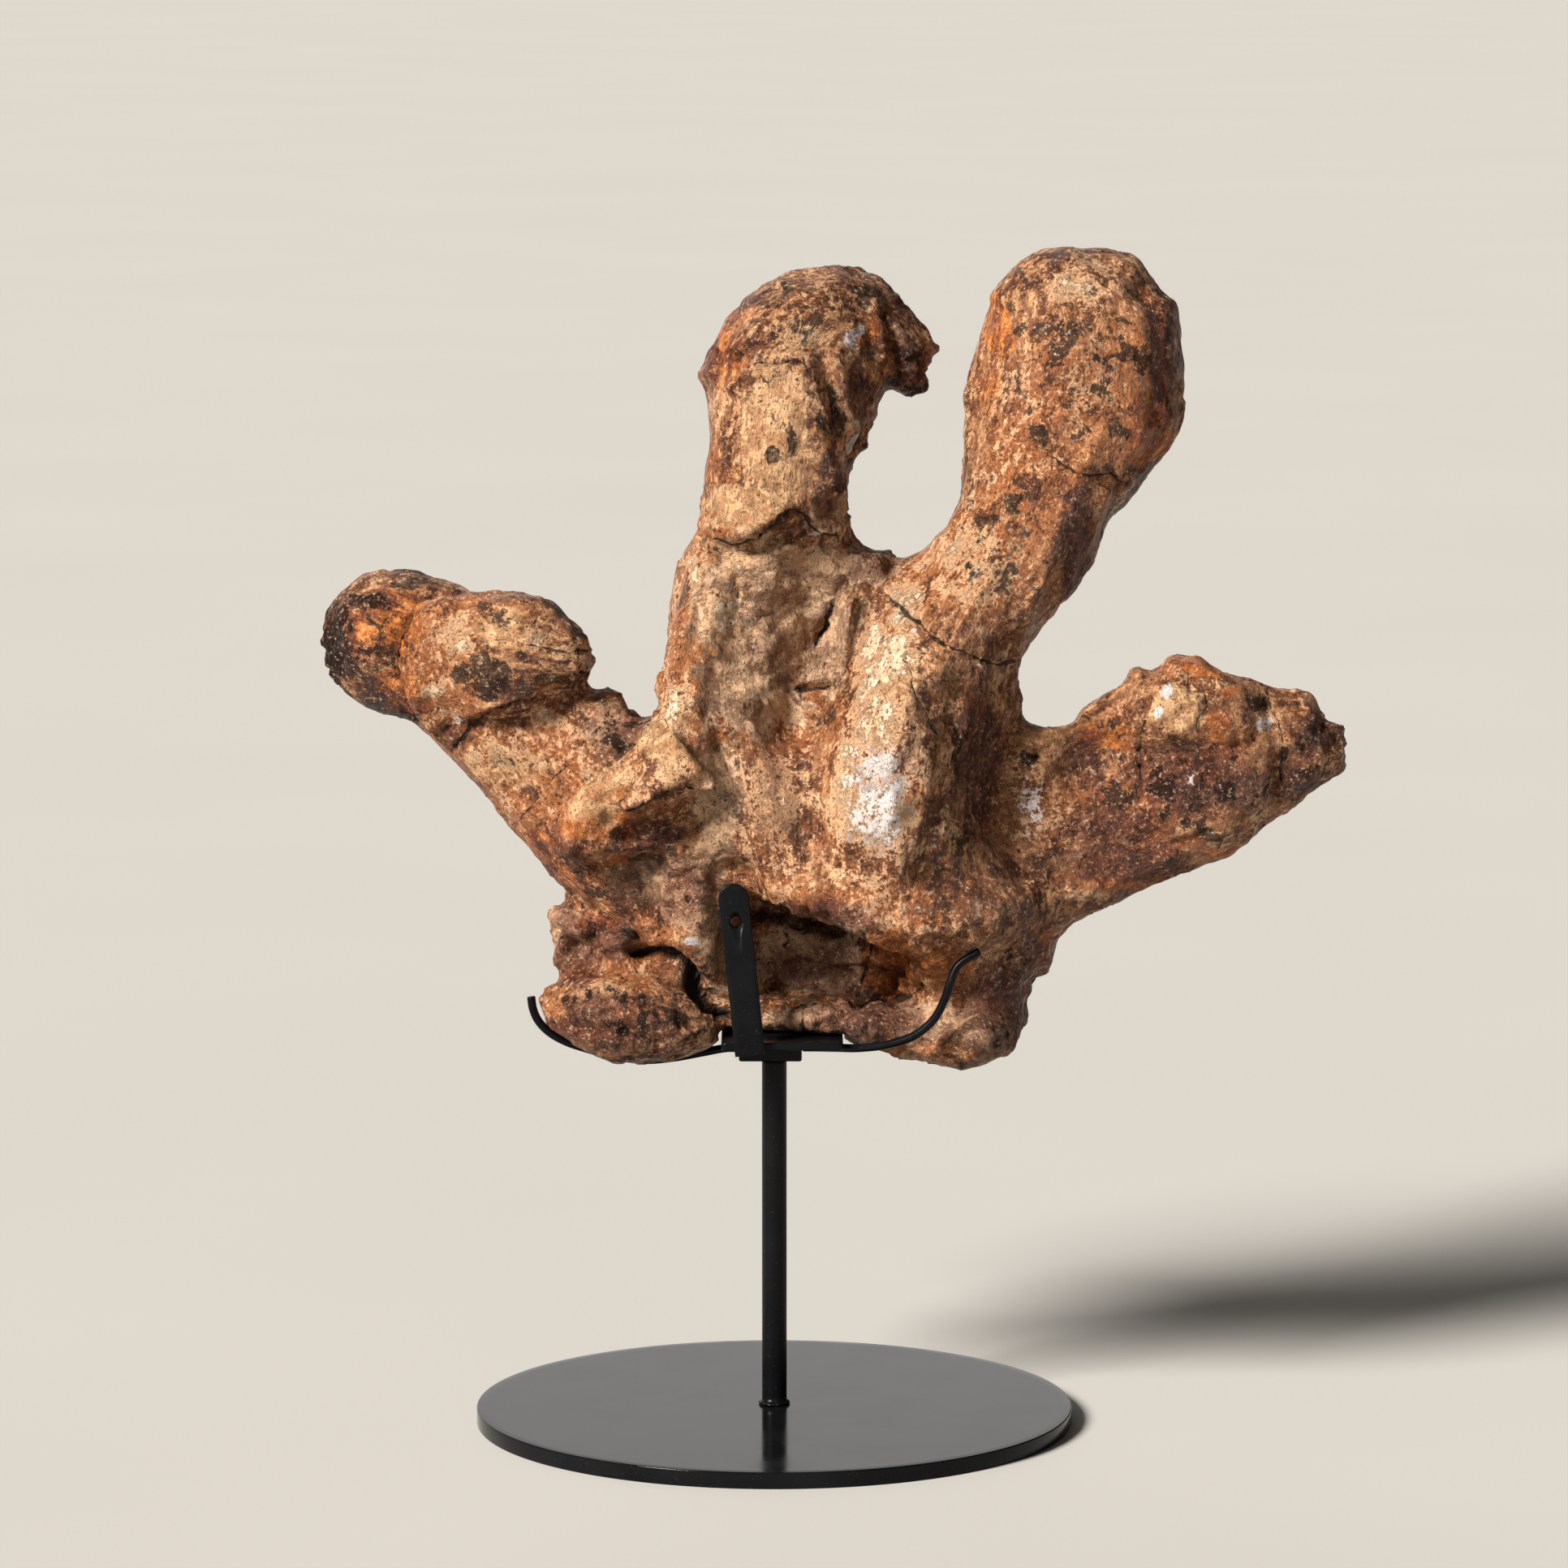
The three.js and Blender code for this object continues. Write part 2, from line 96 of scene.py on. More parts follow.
# Bone, in millimetres. A limb is (how softly it joins the rest, fullness of its section, its ribs),
# and a rib is (x left, z left, x right, z right, y middle, half depth). Fullness 2 is an ellipse,
# more is boxier.
LIMBS = {
    "left_horn": (8, 2.2, ((-36, 309, 12, 303, 4, 22), (-29, 336, 25, 333, 1, 26),
        (-28, 357, 27, 356, 1, 29), (-27, 377, 31, 375, 5, 30), (-26, 393, 37, 389, 10, 31),
        (-23, 410, 41, 390, 17, 32), (-12, 424, 41, 390, 24, 32), (4, 431, 43, 391, 29, 31),
        (23, 434, 45, 392, 33, 27), (34, 428, 44, 396, 36, 21))),
    "left_horn_nub": (4, 3.6, ((34, 426, 36, 395, 36, 19), (44, 420, 45, 394.5, 38, 16),
        (50, 414, 51, 396, 39, 13))),
    "left_horn_back": (9, 2.0, ((-17, 346, 20, 346, 20, 18), (-17, 370, 32, 369, 34, 20),
        (-15, 393, 37, 386, 44, 22), (-4, 411, 38, 396, 52, 18))),
    "right_horn": (8, 2.2, ((22, 267, 84, 243, -6, 34), (33, 292, 89, 273, -7, 34),
        (47, 316, 91, 295, -6, 32), (56, 333, 103, 311, -3, 30), (68, 352, 120, 332, 2, 30),
        (72, 372, 137, 359, 9, 33), (74, 393, 153, 377, 17, 37), (77, 408, 156, 396, 23, 38),
        (79, 416, 155, 407, 28, 38))),
    "right_horn_back": (9, 2.0, ((73, 346, 107, 330, 20, 19), (81, 369, 126, 357, 35, 23),
        (88, 390, 145, 380, 49, 25), (92, 405, 145, 402, 56, 20))),
    "left_process": (8, 2.2, ((-139, 327, -155, 276, 10, 24), (-119, 320, -135, 267, 6, 24),
        (-101, 294, -121, 256, 2, 24), (-84, 278, -105, 240, -1, 25), (-66, 265, -89, 221, -2, 26),
        (-47, 249, -74, 202, -1, 26), (-32, 235, -54, 194, 2, 24))),
    "left_facet_lobe": (4, 2.3, ((-120.5, 319, -119.5, 276, -12, 17), (-100, 323, -101, 273, -16, 19),
        (-85, 315, -86, 280, -16, 17))),
    "left_web": (7, 2.0, ((-78, 287, -94, 248, -6, 17), (-64, 284, -74, 233, -13, 19),
        (-52, 277, -57, 224, -18, 21), (-35, 272, -38, 218, -14, 26))),
    "left_lamina": (9, 2.0, ((-27, 342, -10, 337, -10, 12), (-34, 325, -12, 320, -16, 15),
        (-41, 309, -16, 303, -22, 17), (-44, 293, -20, 286, -28, 18), (-46, 277, -22, 268, -33, 19),
        (-52, 262, -27, 248, -38, 17), (-67, 250, -41, 232, -36, 14), (-77, 240, -62, 224, -30, 12))),
    "arch_plate": (8, 2.8, ((-37, 323, 42, 320, 4, 22), (-41, 302, 48, 299, 0, 27),
        (-44, 284, 56, 277, -4, 31), (-45, 267, 66, 258, -8, 36), (-43, 248, 76, 240, -9, 40),
        (-32, 228, 84, 223, -9, 40), (-19, 217, 90, 210, -8, 36))),
    "right_horn_root": (10, 2.0, ((44, 314, 78, 304, -22, 10), (29, 286, 74, 279, -29, 19),
        (22, 262, 71, 257, -34, 22), (19, 240, 69, 237, -35, 22), (22, 222, 66, 218, -33, 18))),
    "arch_rim": (6, 2.0, ((-15, 231, -19, 214, -31, 12), (0, 230, -2, 211, -35, 13),
        (20, 226, 15, 203, -39, 14), (38, 222, 35, 194, -40, 16), (60, 220, 58, 190, -36, 17),
        (80, 217, 81, 190, -26, 18), (95, 213, 98, 197, -12, 18))),
    "web_between_horns": (8, 2.4, ((2, 347, 2, 297, 12, 17), (26, 342, 27, 291, 10, 17),
        (40, 332, 39, 288, 8, 19), (54, 332, 54, 285, 6, 20))),
    "right_process": (8, 2.3, ((82, 273, 87, 188, 0, 21), (107, 272, 108, 192, 0, 18),
        (122, 279, 124, 201, 1, 16), (137, 289, 139, 207, 2, 16), (153, 292, 154, 212, 3, 16),
        (168, 289, 170, 220, 4, 16), (184, 284, 186, 229, 6, 15), (198, 281, 200, 238, 9, 14),
        (208, 273, 209, 245, 12, 11))),
    "right_lump": (8, 3.4, ((146, 291, 148, 264, -6, 12), (158, 294, 160, 264, -8, 12),
        (168, 288, 170, 266, -6, 11))),
    "left_pedicle": (7, 2.2, ((-50, 231, -6, 225, -8, 29), (-54, 212, -7, 209, -6, 28),
        (-53, 196, -7, 193, -3, 28), (-48, 183, -6, 179, 4, 26), (-37, 171, -4, 169, 8, 24))),
    "left_lump": (3, 2.3, ((-80, 172, -79, 151, -6, 24), (-65, 178, -65, 144, -9, 30),
        (-49, 179, -48, 142, -10, 32), (-33, 172, -32, 145, -8, 29))),
    "left_lump_crust": (4, 2.0, ((-68, 200, -46, 195, 4, 18), (-75, 180, -38, 174, 4, 27),
        (-76, 168, -31, 165, 4, 29))),
    "left_knob": (3, 2.4, ((-86, 197, -66, 195, 3, 10), (-87, 189, -62, 187, 4, 12),
        (-84, 178, -62, 177, 4, 14))),
    "canal_floor": (5, 2.2, ((-23, 168, -20, 151, 12, 27), (2, 166, 2, 152, 8, 27),
        (27, 164, 27, 151, 4, 29), (48, 162, 48, 144, 6, 31), (73, 164, 75, 142, 10, 32))),
    "right_pedicle": (8, 2.2, ((52, 212, 108, 209, 2, 27), (52, 193, 108, 192, 4, 28),
        (51, 178, 102, 178, 6, 29), (49, 164, 96, 165, 8, 28))),
    "right_foot": (5, 2.3, ((56, 161, 57, 143, -2, 24), (70, 166, 71, 140, -3, 28),
        (82, 164, 83, 143, 0, 25))),
    "centrum_back": (9, 2.6, ((-70, 176, -66, 148, 28, 22), (-33, 198, -33, 149, 34, 27),
        (14, 206, 14, 152, 36, 29), (55, 200, 55, 148, 34, 27), (85, 180, 83, 148, 28, 22))),
}
HOLLOWS = {
    "strap_way": (12, 2.0, ((-26, 170, 6, 172, -64, 27.5), (-29, 195, 0, 197, -64, 27.5),
        (-32, 210, -1, 212, -64, 26.5))),
    "under_nub": (2, 6.0, ((39.5, 356, 66.5, 356, 36, 60), (39.5, 379, 66.5, 379, 36, 60))),
    "lobe_end": (2, 6.0, ((-69, 335, -40, 335, -34, 30), (-67.5, 318, -40, 318, -34, 30),
        (-70, 305, -42, 305, -34, 30))),
    "between_horns": (14, 2.0, ((-6, 326, 38, 322, -60, 44), (-4, 306, 38, 302, -60, 48),
        (-6, 286, 28, 283, -60, 42), (-8, 270, 20, 268, -64, 30))),
    "canal": (5, 3.0, ((-6, 203, -7, 172, -32, 30), (10, 201, 8, 170, -36, 36),
        (29, 195, 30, 169, -38, 36), (48, 187, 48, 170, -38, 30))),
    "canal_roof": (4, 2.0, ((-6, 206, -7, 192, -28, 36), (10, 202, 10, 188, -28, 38),
        (29, 195, 29, 186, -30, 36))),
    "right_process_hollow": (10, 2.0, ((98, 272, 101, 222, -50, 37), (116, 280, 118, 224, -50, 39),
        (131, 278, 133, 228, -48, 34))),
    "right_valley": (10, 2.0, ((82, 306, 106, 300, -56, 32), (79, 282, 110, 279, -57, 37),
        (79, 256, 112, 254, -57, 37), (81, 234, 110, 234, -56, 32))),
    "rear_canal": (8, 2.2, ((2, 221, 2, 176, 84, 34), (21, 224, 21, 173, 84, 36),
        (40, 221, 40, 176, 84, 34))),
    "rear_dish": (8, 2.2, ((-22, 176, -22, 156, 84, 28), (15, 180, 15, 156, 86, 34),
        (50, 176, 50, 156, 84, 28))),
}
# How strongly each part shows its fibres
FIBRES = {"body": .5, "left_horn": .9, "right_horn": .7, "left_process": .7, "right_process": .35}
# Limbs whose fibres run together
GRAINS = {
    "left_horn": ("left_horn", "left_horn_back"),
    "right_horn": ("right_horn", "right_horn_back", "right_horn_root"),
    "left_process": ("left_process", "left_facet_lobe", "left_web"),
    "right_process": ("right_process", "right_lump"),
}
BONE_LOW = np.array((-.190, -.075, .125))
BONE_HIGH = np.array((.235, .095, .470))
BONE_STEP = 1.78 * MM
COARSE_STEP = 4 * MM
SURFACE_BAND = 6 * MM
STAND_ROOM_LOW = np.array((-.110, -.090, .130))
STAND_ROOM_HIGH = np.array((.100, .070, .235))
STAND_ROOM_SOFT = 2.5 * MM
STRAP_ROOM_SOFT = 9 * MM

# Marks on the front, by where they show in the photograph: x, y, half width and half height in its
# pixels, and strength
MARKS = {
    "charcoal": {
        "horn_crown": (970, 352, 16, 8, .8), "horn_crown_right": (1074, 366, 30, 12, 1),
        "horn_spot": (972, 546, 15, 22, .9), "horn_spot_left": (948, 567, 16, 13, .8),
        "horn_spot_low": (922, 582, 14, 11, .7), "horn_fleck": (1012, 526, 15, 12, .8),
        "horn_fleck_left": (928, 516, 6, 5, .7), "horn_fleck_top": (978, 518, 5, 5, .8),
        # nail_shadow_low on the next line is painted shade, in the valley beside the nail
        "nail_shadow_low": (1028, 510, 7, 40, .7), "shelf_stain": (1030, 598, 16, 12, .9),
        "nub_under": (1112, 478, 30, 14, .7), "right_shaft_spot": (1256, 614, 25, 25, 1),
        "right_shaft_edge": (1212, 638, 22, 14, .9), "right_head_cloud": (1396, 438, 24, 28, .9),
        "right_head_middle": (1332, 404, 22, 14, .7), "right_head_left": (1268, 402, 14, 10, .7),
        "right_head_low": (1376, 527, 20, 24, .7), "right_head_streak": (1362, 575, 16, 26, .6),
        "right_neck": (1288, 535, 20, 16, 1), "right_head_rim": (1436, 385, 10, 40, .6),
        "right_shaft_low": (1180, 702, 8, 18, .6), "left_end_specks": (450, 800, 60, 90, .55),
        "left_neck_specks": (500, 880, 40, 30, .5), "left_end_top": (456, 732, 30, 10, .9),
        "left_end_back": (500, 716, 30, 8, .6), "left_end_cut": (411, 808, 22, 58, 1.4),
        "left_end_low": (430, 862, 22, 10, .8), "lobe_spot": (602, 836, 50, 36, 1),
        "lobe_spot_right": (636, 804, 16, 16, .9), "lobe_brow": (608, 756, 26, 12, .7),
        "lobe_right": (706, 772, 18, 13, .8), "lobe_low": (678, 836, 34, 12, .7),
        "lobe_top": (655, 760, 26, 10, .5), "left_lump_spot": (832, 1250, 30, 20, .8),
        "left_lump_middle": (760, 1262, 28, 16, .6), "left_lump_left": (704, 1232, 26, 12, .6),
        "left_lump_low": (850, 1276, 26, 12, .6), "right_head_flecks": (1330, 440, 96, 110, .36),
        "right_shaft_flecks": (1230, 680, 90, 110, .26), "horn_flecks": (960, 400, 90, 60, .3),
        "lobe_flecks": (650, 800, 90, 60, .3), "process_flecks": (1470, 950, 110, 70, .3),
        "lump_flecks": (775, 1245, 110, 50, .26), "web_flecks": (756, 890, 48, 44, .4),
        "hollow_corner": (1000, 880, 18, 20, .4), "process_spot": (1374, 977, 21, 18, .8),
        "process_top": (1366, 891, 18, 11, .6), "process_middle": (1430, 968, 22, 22, .8),
        "process_middle_low": (1434, 1004, 24, 14, .7), "process_low": (1484, 1024, 18, 12, .6),
        "process_right": (1522, 984, 24, 20, .7), "process_dot": (1474, 962, 14, 12, .8),
        "process_brow": (1340, 884, 30, 12, .6), "right_step_top": (1546, 872, 22, 12, 1),
        "right_step_dark": (1576, 934, 9, 12, 1), "tip_under": (1612, 958, 24, 12, .7),
        "shaft_spot": (690, 980, 16, 10, .5), "shaft_groove": (622, 940, 18, 9, .5),
        "ridge_foot": (1072, 1060, 24, 10, .4), "root_right": (1180, 930, 14, 60, .5),
        "root_right_low": (1196, 1040, 16, 40, .5), "valley_top": (1273, 932, 11, 9, 1),
        "lamina_top": (878, 684, 9, 18, .7),
    },
    "rust": {
        "right_head": (1320, 430, 110, 120, .42), "left_horn_top": (960, 390, 90, 40, .4),
        "lamina_band": (716, 1006, 26, 44, .8), "right_process_edge": (1500, 900, 30, 40, .6),
        "left_end": (474, 772, 60, 44, 1), "left_neck": (504, 850, 44, 34, 1),
        "right_head_left": (1240, 412, 24, 34, 1), "right_head_side": (1420, 530, 38, 66, 1.2),
        "right_head_arc": (1405, 430, 16, 40, .7), "horn_left": (890, 440, 24, 56, .7),
        "hollow_right": (1345, 900, 50, 36, .7), "right_process": (1500, 930, 100, 60, .5),
        "right_process_under": (1400, 1082, 110, 20, .7), "canal_chip": (1096, 1190, 46, 42, 1.6),
        "canal_chip_right": (1168, 1188, 38, 32, 1.3), "lamina_hook": (750, 1012, 46, 20, .9),
        "crust_gap": (740, 1140, 30, 12, .8), "right_mass": (1290, 1150, 18, 32, .8),
        "right_tip": (1600, 900, 36, 40, .4), "right_horn_left": (1215, 480, 20, 60, .5),
        "right_neck": (1350, 560, 40, 40, .4), "horn_brow": (905, 395, 26, 26, .6),
        "horn_edge": (870, 560, 10, 60, .5), "root_side": (1200, 860, 30, 50, .5),
        "left_shaft": (700, 1080, 20, 40, .6), "shaft_upper": (640, 960, 30, 24, .4),
        "horn_right_face": (1080, 412, 14, 24, 1), "lump_top": (1482, 822, 34, 9, 1),
        "lump_right": (1512, 856, 18, 14, .9), "lump_right_low": (1500, 902, 16, 14, .8),
        "hollow_right_top": (1356, 906, 50, 24, 1), "end_top": (488, 736, 38, 18, 1),
        "end_middle": (446, 782, 20, 26, .8), "end_low": (478, 838, 26, 22, .7),
        "shaft_edge": (586, 962, 30, 30, .4), "shaft_red": (676, 1046, 36, 44, .7),
        "hook_low": (753, 1060, 18, 13, 1), "head_edge": (1434, 422, 10, 40, .9),
        "head_gold": (1230, 402, 30, 40, 1.3), "process_foot": (1500, 1052, 50, 12, .7),
        "brow_left": (900, 420, 18, 14, 1),
    },
    "cream": {
        "nail": (980, 480, 34, 40, .5), "shelf": (905, 640, 34, 16, .3),
        "lobe_patch": (570, 796, 30, 13, 1), "lobe_patch_low": (538, 848, 17, 22, 1),
        "lobe_streaks": (662, 787, 30, 22, .8), "lobe_tip": (717, 804, 16, 24, .8),
        "shaft_patch": (671, 884, 20, 17, .8), "nub_ridges": (1114, 420, 10, 30, .8),
        "shaft_wide": (1205, 700, 80, 90, .7), "centre_wide": (955, 985, 50, 90, .7),
        "horn_brow": (985, 420, 50, 28, .8), "right_shaft": (1200, 700, 60, 50, .5),
        "right_head_top": (1330, 350, 44, 36, .8), "right_head_low": (1340, 470, 60, 60, .65),
        "root_top": (1120, 745, 34, 34, .9), "root_upper": (1096, 812, 54, 54, 1),
        "root_ridge": (1086, 890, 50, 70, .9), "root_belly": (1080, 1000, 60, 90, 1),
        "root_left": (1050, 960, 30, 90, .8), "lamina_facet": (822, 958, 54, 26, .45),
        "lobe_top": (556, 782, 46, 32, .7), "shaft_ridge": (620, 930, 70, 30, .8),
        "centre_granules": (950, 985, 42, 70, .7), "pedicle": (835, 1150, 30, 30, .2),
        "left_lump_brow": (740, 1216, 50, 14, .6), "web": (690, 900, 24, 34, .6),
        "right_lump": (1450, 868, 44, 30, .35), "right_neck": (1290, 575, 30, 20, .6),
        "lamina_edge": (825, 870, 16, 50, .9), "lamina_edge_top": (850, 720, 12, 60, .8),
        "rim_band": (1060, 1085, 70, 16, .5), "hollow_stain": (893, 765, 26, 40, 1),
        "lobe_right": (700, 800, 26, 20, .7), "hollow_left": (910, 700, 30, 40, .6),
        "triangle_low": (836, 950, 34, 20, .6),
    },
    "tan": {
        "process_low": (1311, 1060, 40, 20, .7), "hollow_left": (876, 740, 34, 90, .9),
        "hook": (731, 1000, 36, 22, .8), "lobe_olive": (622, 760, 34, 18, .9),
        "head_middle": (1340, 440, 60, 80, .35), "nail": (955, 545, 62, 104, 1.2),
        "shelf": (920, 622, 66, 46, 1), "horn_brow": (980, 430, 60, 34, .6),
        "pedicle": (846, 1150, 40, 40, .5), "block": (1450, 872, 46, 38, 1),
        "lobe": (600, 770, 90, 30, .7), "hollow_stain": (890, 770, 34, 70, .8),
        "hollow_edge": (880, 700, 24, 40, .6), "root_ridge": (1096, 830, 60, 90, .8),
        "shaft": (1200, 700, 80, 90, .6), "lump_brow": (745, 1222, 84, 22, .7),
        "lamina": (826, 900, 40, 90, .8), "lamina_band": (752, 968, 46, 34, .9),
        "rim_band": (1060, 1080, 120, 24, .5), "head_top": (1330, 350, 60, 40, .3),
        "shaft_ridge": (630, 940, 80, 40, .7), "centre": (950, 1000, 60, 80, .5),
    },
    # Umber marks are brown stains, and painted shade where shade falls: on the left horn's right face and
    # left edge, the right sides of the root, head and shaft, under the lip (undercut) and beneath the rim
    # (canal, canal_wall)
    "umber": {
        "process_plate": (1490, 960, 90, 60, .6), "process_belly": (1372, 1010, 100, 40, .8),
        "right_process": (1480, 960, 130, 70, .9), "process_low": (1380, 1060, 110, 34, .9),
        "process_hollow": (1345, 930, 60, 50, .8), "right_tip": (1610, 905, 44, 50, .9),
        "left_end": (424, 800, 46, 84, 1), "left_end_low": (480, 872, 50, 32, 1),
        "left_end_top": (450, 735, 70, 24, .9), "lump_face": (760, 1250, 100, 40, .6),
        "knob": (700, 1160, 34, 50, .8), "foot_right": (1200, 1270, 70, 40, .7),
        "crust": (750, 1160, 50, 40, .7), "pedicle_low": (850, 1200, 50, 40, .5),
        "web_top": (1070, 700, 50, 30, .6), "horn_top": (940, 372, 60, 22, .7),
        "horn_left": (878, 440, 16, 60, .8), "horn_face": (1062, 486, 26, 90, 1),
        "shelf_side": (1018, 612, 26, 24, .8), "nub": (1118, 450, 34, 50, .9),
        "head_right": (1436, 470, 26, 110, .8), "head_cloud": (1340, 450, 60, 50, .4),
        "shaft_right": (1330, 690, 24, 110, .8), "root_right": (1206, 930, 42, 150, 1),
        "root_foot": (1220, 1090, 40, 40, .8), "right_mass": (1265, 1190, 40, 70, .9),
        "canal": (1010, 1130, 80, 30, .8), "canal_wall": (1000, 1190, 90, 50, .7),
        "base_right": (1230, 1240, 70, 80, .9), "base_middle": (1060, 1262, 120, 34, .8),
        "base_left": (770, 1270, 120, 34, .8), "base_knob": (700, 1180, 50, 40, .8),
        "centre": (955, 985, 50, 90, .6), "web_face": (752, 890, 54, 50, .8),
        "pedicle_face": (846, 1096, 50, 70, .7), "tip_fan": (1622, 900, 40, 44, 1),
        "tip_low": (1600, 960, 50, 30, .8), "undercut": (790, 1030, 60, 30, 1),
        "shaft_low": (690, 1060, 40, 50, .6), "left_lump": (800, 1270, 110, 26, .6),
        "pedicle_left": (776, 1100, 30, 50, .7), "lobe_left": (560, 905, 30, 14, .7),
        "hollow_right": (1010, 790, 26, 60, .4),
    },
    "matrix": {
        "web_face": (752, 900, 50, 50, .55), "pedicle_face": (846, 1096, 44, 56, 1),
        "hollow_top": (950, 745, 106, 100, 1), "hollow_right": (1008, 764, 60, 104, 1),
        "web_top": (1066, 700, 50, 28, 1), "hollow_low": (930, 858, 80, 64, 1),
        "canal_wall": (1020, 1185, 100, 56, 1), "pedicle_left": (790, 1088, 60, 46, .8),
        "canal_floor": (1040, 1262, 120, 28, .9), "knob": (700, 1150, 34, 40, .9),
        "right_foot": (1222, 1262, 70, 46, .8), "crust": (760, 1160, 50, 24, .6),
        "floor_right": (1130, 1262, 60, 40, .8), "pedicle_right": (890, 1180, 40, 60, .6),
        "left_lump": (775, 1245, 110, 44, .35), "shelf_step": (1020, 624, 30, 32, 1),
        "rim_right": (1180, 1120, 110, 26, .45), "centre_low": (886, 985, 32, 84, .9),
    },
    "gloss": {
        "ridge_belly": (1085, 985, 60, 80, 1), "hollow_top": (950, 690, 60, 30, .8),
        "right_valley": (1292, 1010, 40, 80, .7), "lamina": (850, 800, 28, 50, .6),
        "knob": (730, 1180, 30, 30, .7), "crack": (1130, 770, 30, 14, .5),
        "process_low": (1280, 1110, 80, 40, .5), "hollow": (930, 860, 40, 30, .5),
        "ridge_left": (1040, 880, 20, 60, .5),
    },
    # Glue marks are white glue, except that the ridge film paints a white sheen on the ridge belly and
    # web_glitter paints glints
    "glue": {
        "horn_face": (1058, 414, 12, 18, 1), "horn_low": (1050, 546, 15, 15, 1.2),
        "horn_low_right": (1052, 522, 9, 11, 1), "shelf_foot": (1010, 652, 14, 8, .9),
        "lump": (1437, 858, 14, 14, 1.2), "lump_low": (1427, 884, 11, 12, 1.1),
        "crack": (1132, 772, 12, 8, .9), "pedicle_patch": (848, 1166, 14, 14, 1),
        "valley": (1270, 985, 24, 100, .66), "process_specks": (1457, 954, 12, 18, .6),
        "process_under": (1340, 1106, 60, 16, .5), "hollow_scrape": (960, 702, 66, 18, .55),
        "ridge_sheen": (1080, 985, 64, 130, .76), "lamina_fleck": (716, 798, 10, 12, .6),
        "hook_rim": (790, 940, 16, 12, .4), "root_line": (1215, 1075, 16, 40, .55),
        "knob_top": (745, 1130, 14, 10, .6), "horn_scar": (905, 448, 30, 10, .5),
        "lobe_crack": (572, 893, 14, 9, .7), "lump_foot": (1556, 897, 14, 10, .8),
        "web_glitter": (741, 918, 18, 14, .62),
    },
    "broken": {
        "left_end": (408, 805, 22, 60, 1), "horn_tip": (1128, 455, 26, 46, 1),
        "horn_under": (1070, 560, 24, 50, .8), "right_tip": (1630, 915, 40, 60, .8),
        "rim": (1010, 1120, 120, 30, .8), "rim_right": (1160, 1160, 90, 26, .8),
        "lobe_edge": (715, 825, 30, 40, .9), "web_edge": (770, 860, 50, 24, 1),
        "lamina_edge": (815, 860, 16, 70, .7), "shelf_step": (1010, 630, 46, 34, 1),
        "floor_edge": (1100, 1290, 110, 26, .8), "right_mass": (1270, 1190, 30, 70, .7),
        "knob": (700, 1150, 40, 46, 1), "crust": (750, 1160, 50, 40, .9),
        "canal_chips": (1110, 1190, 90, 50, .9), "lump_top": (1450, 830, 70, 16, .8),
        "left_lump": (775, 1245, 120, 54, .5), "right_foot": (1200, 1280, 80, 40, .6),
        "web_top": (1080, 690, 50, 16, .8), "hook": (725, 1050, 40, 40, .5),
    },
}
MARK_CORE = .2  # a mark fades out from this share of its size to MARK_EDGE
MARK_EDGE = 1.35

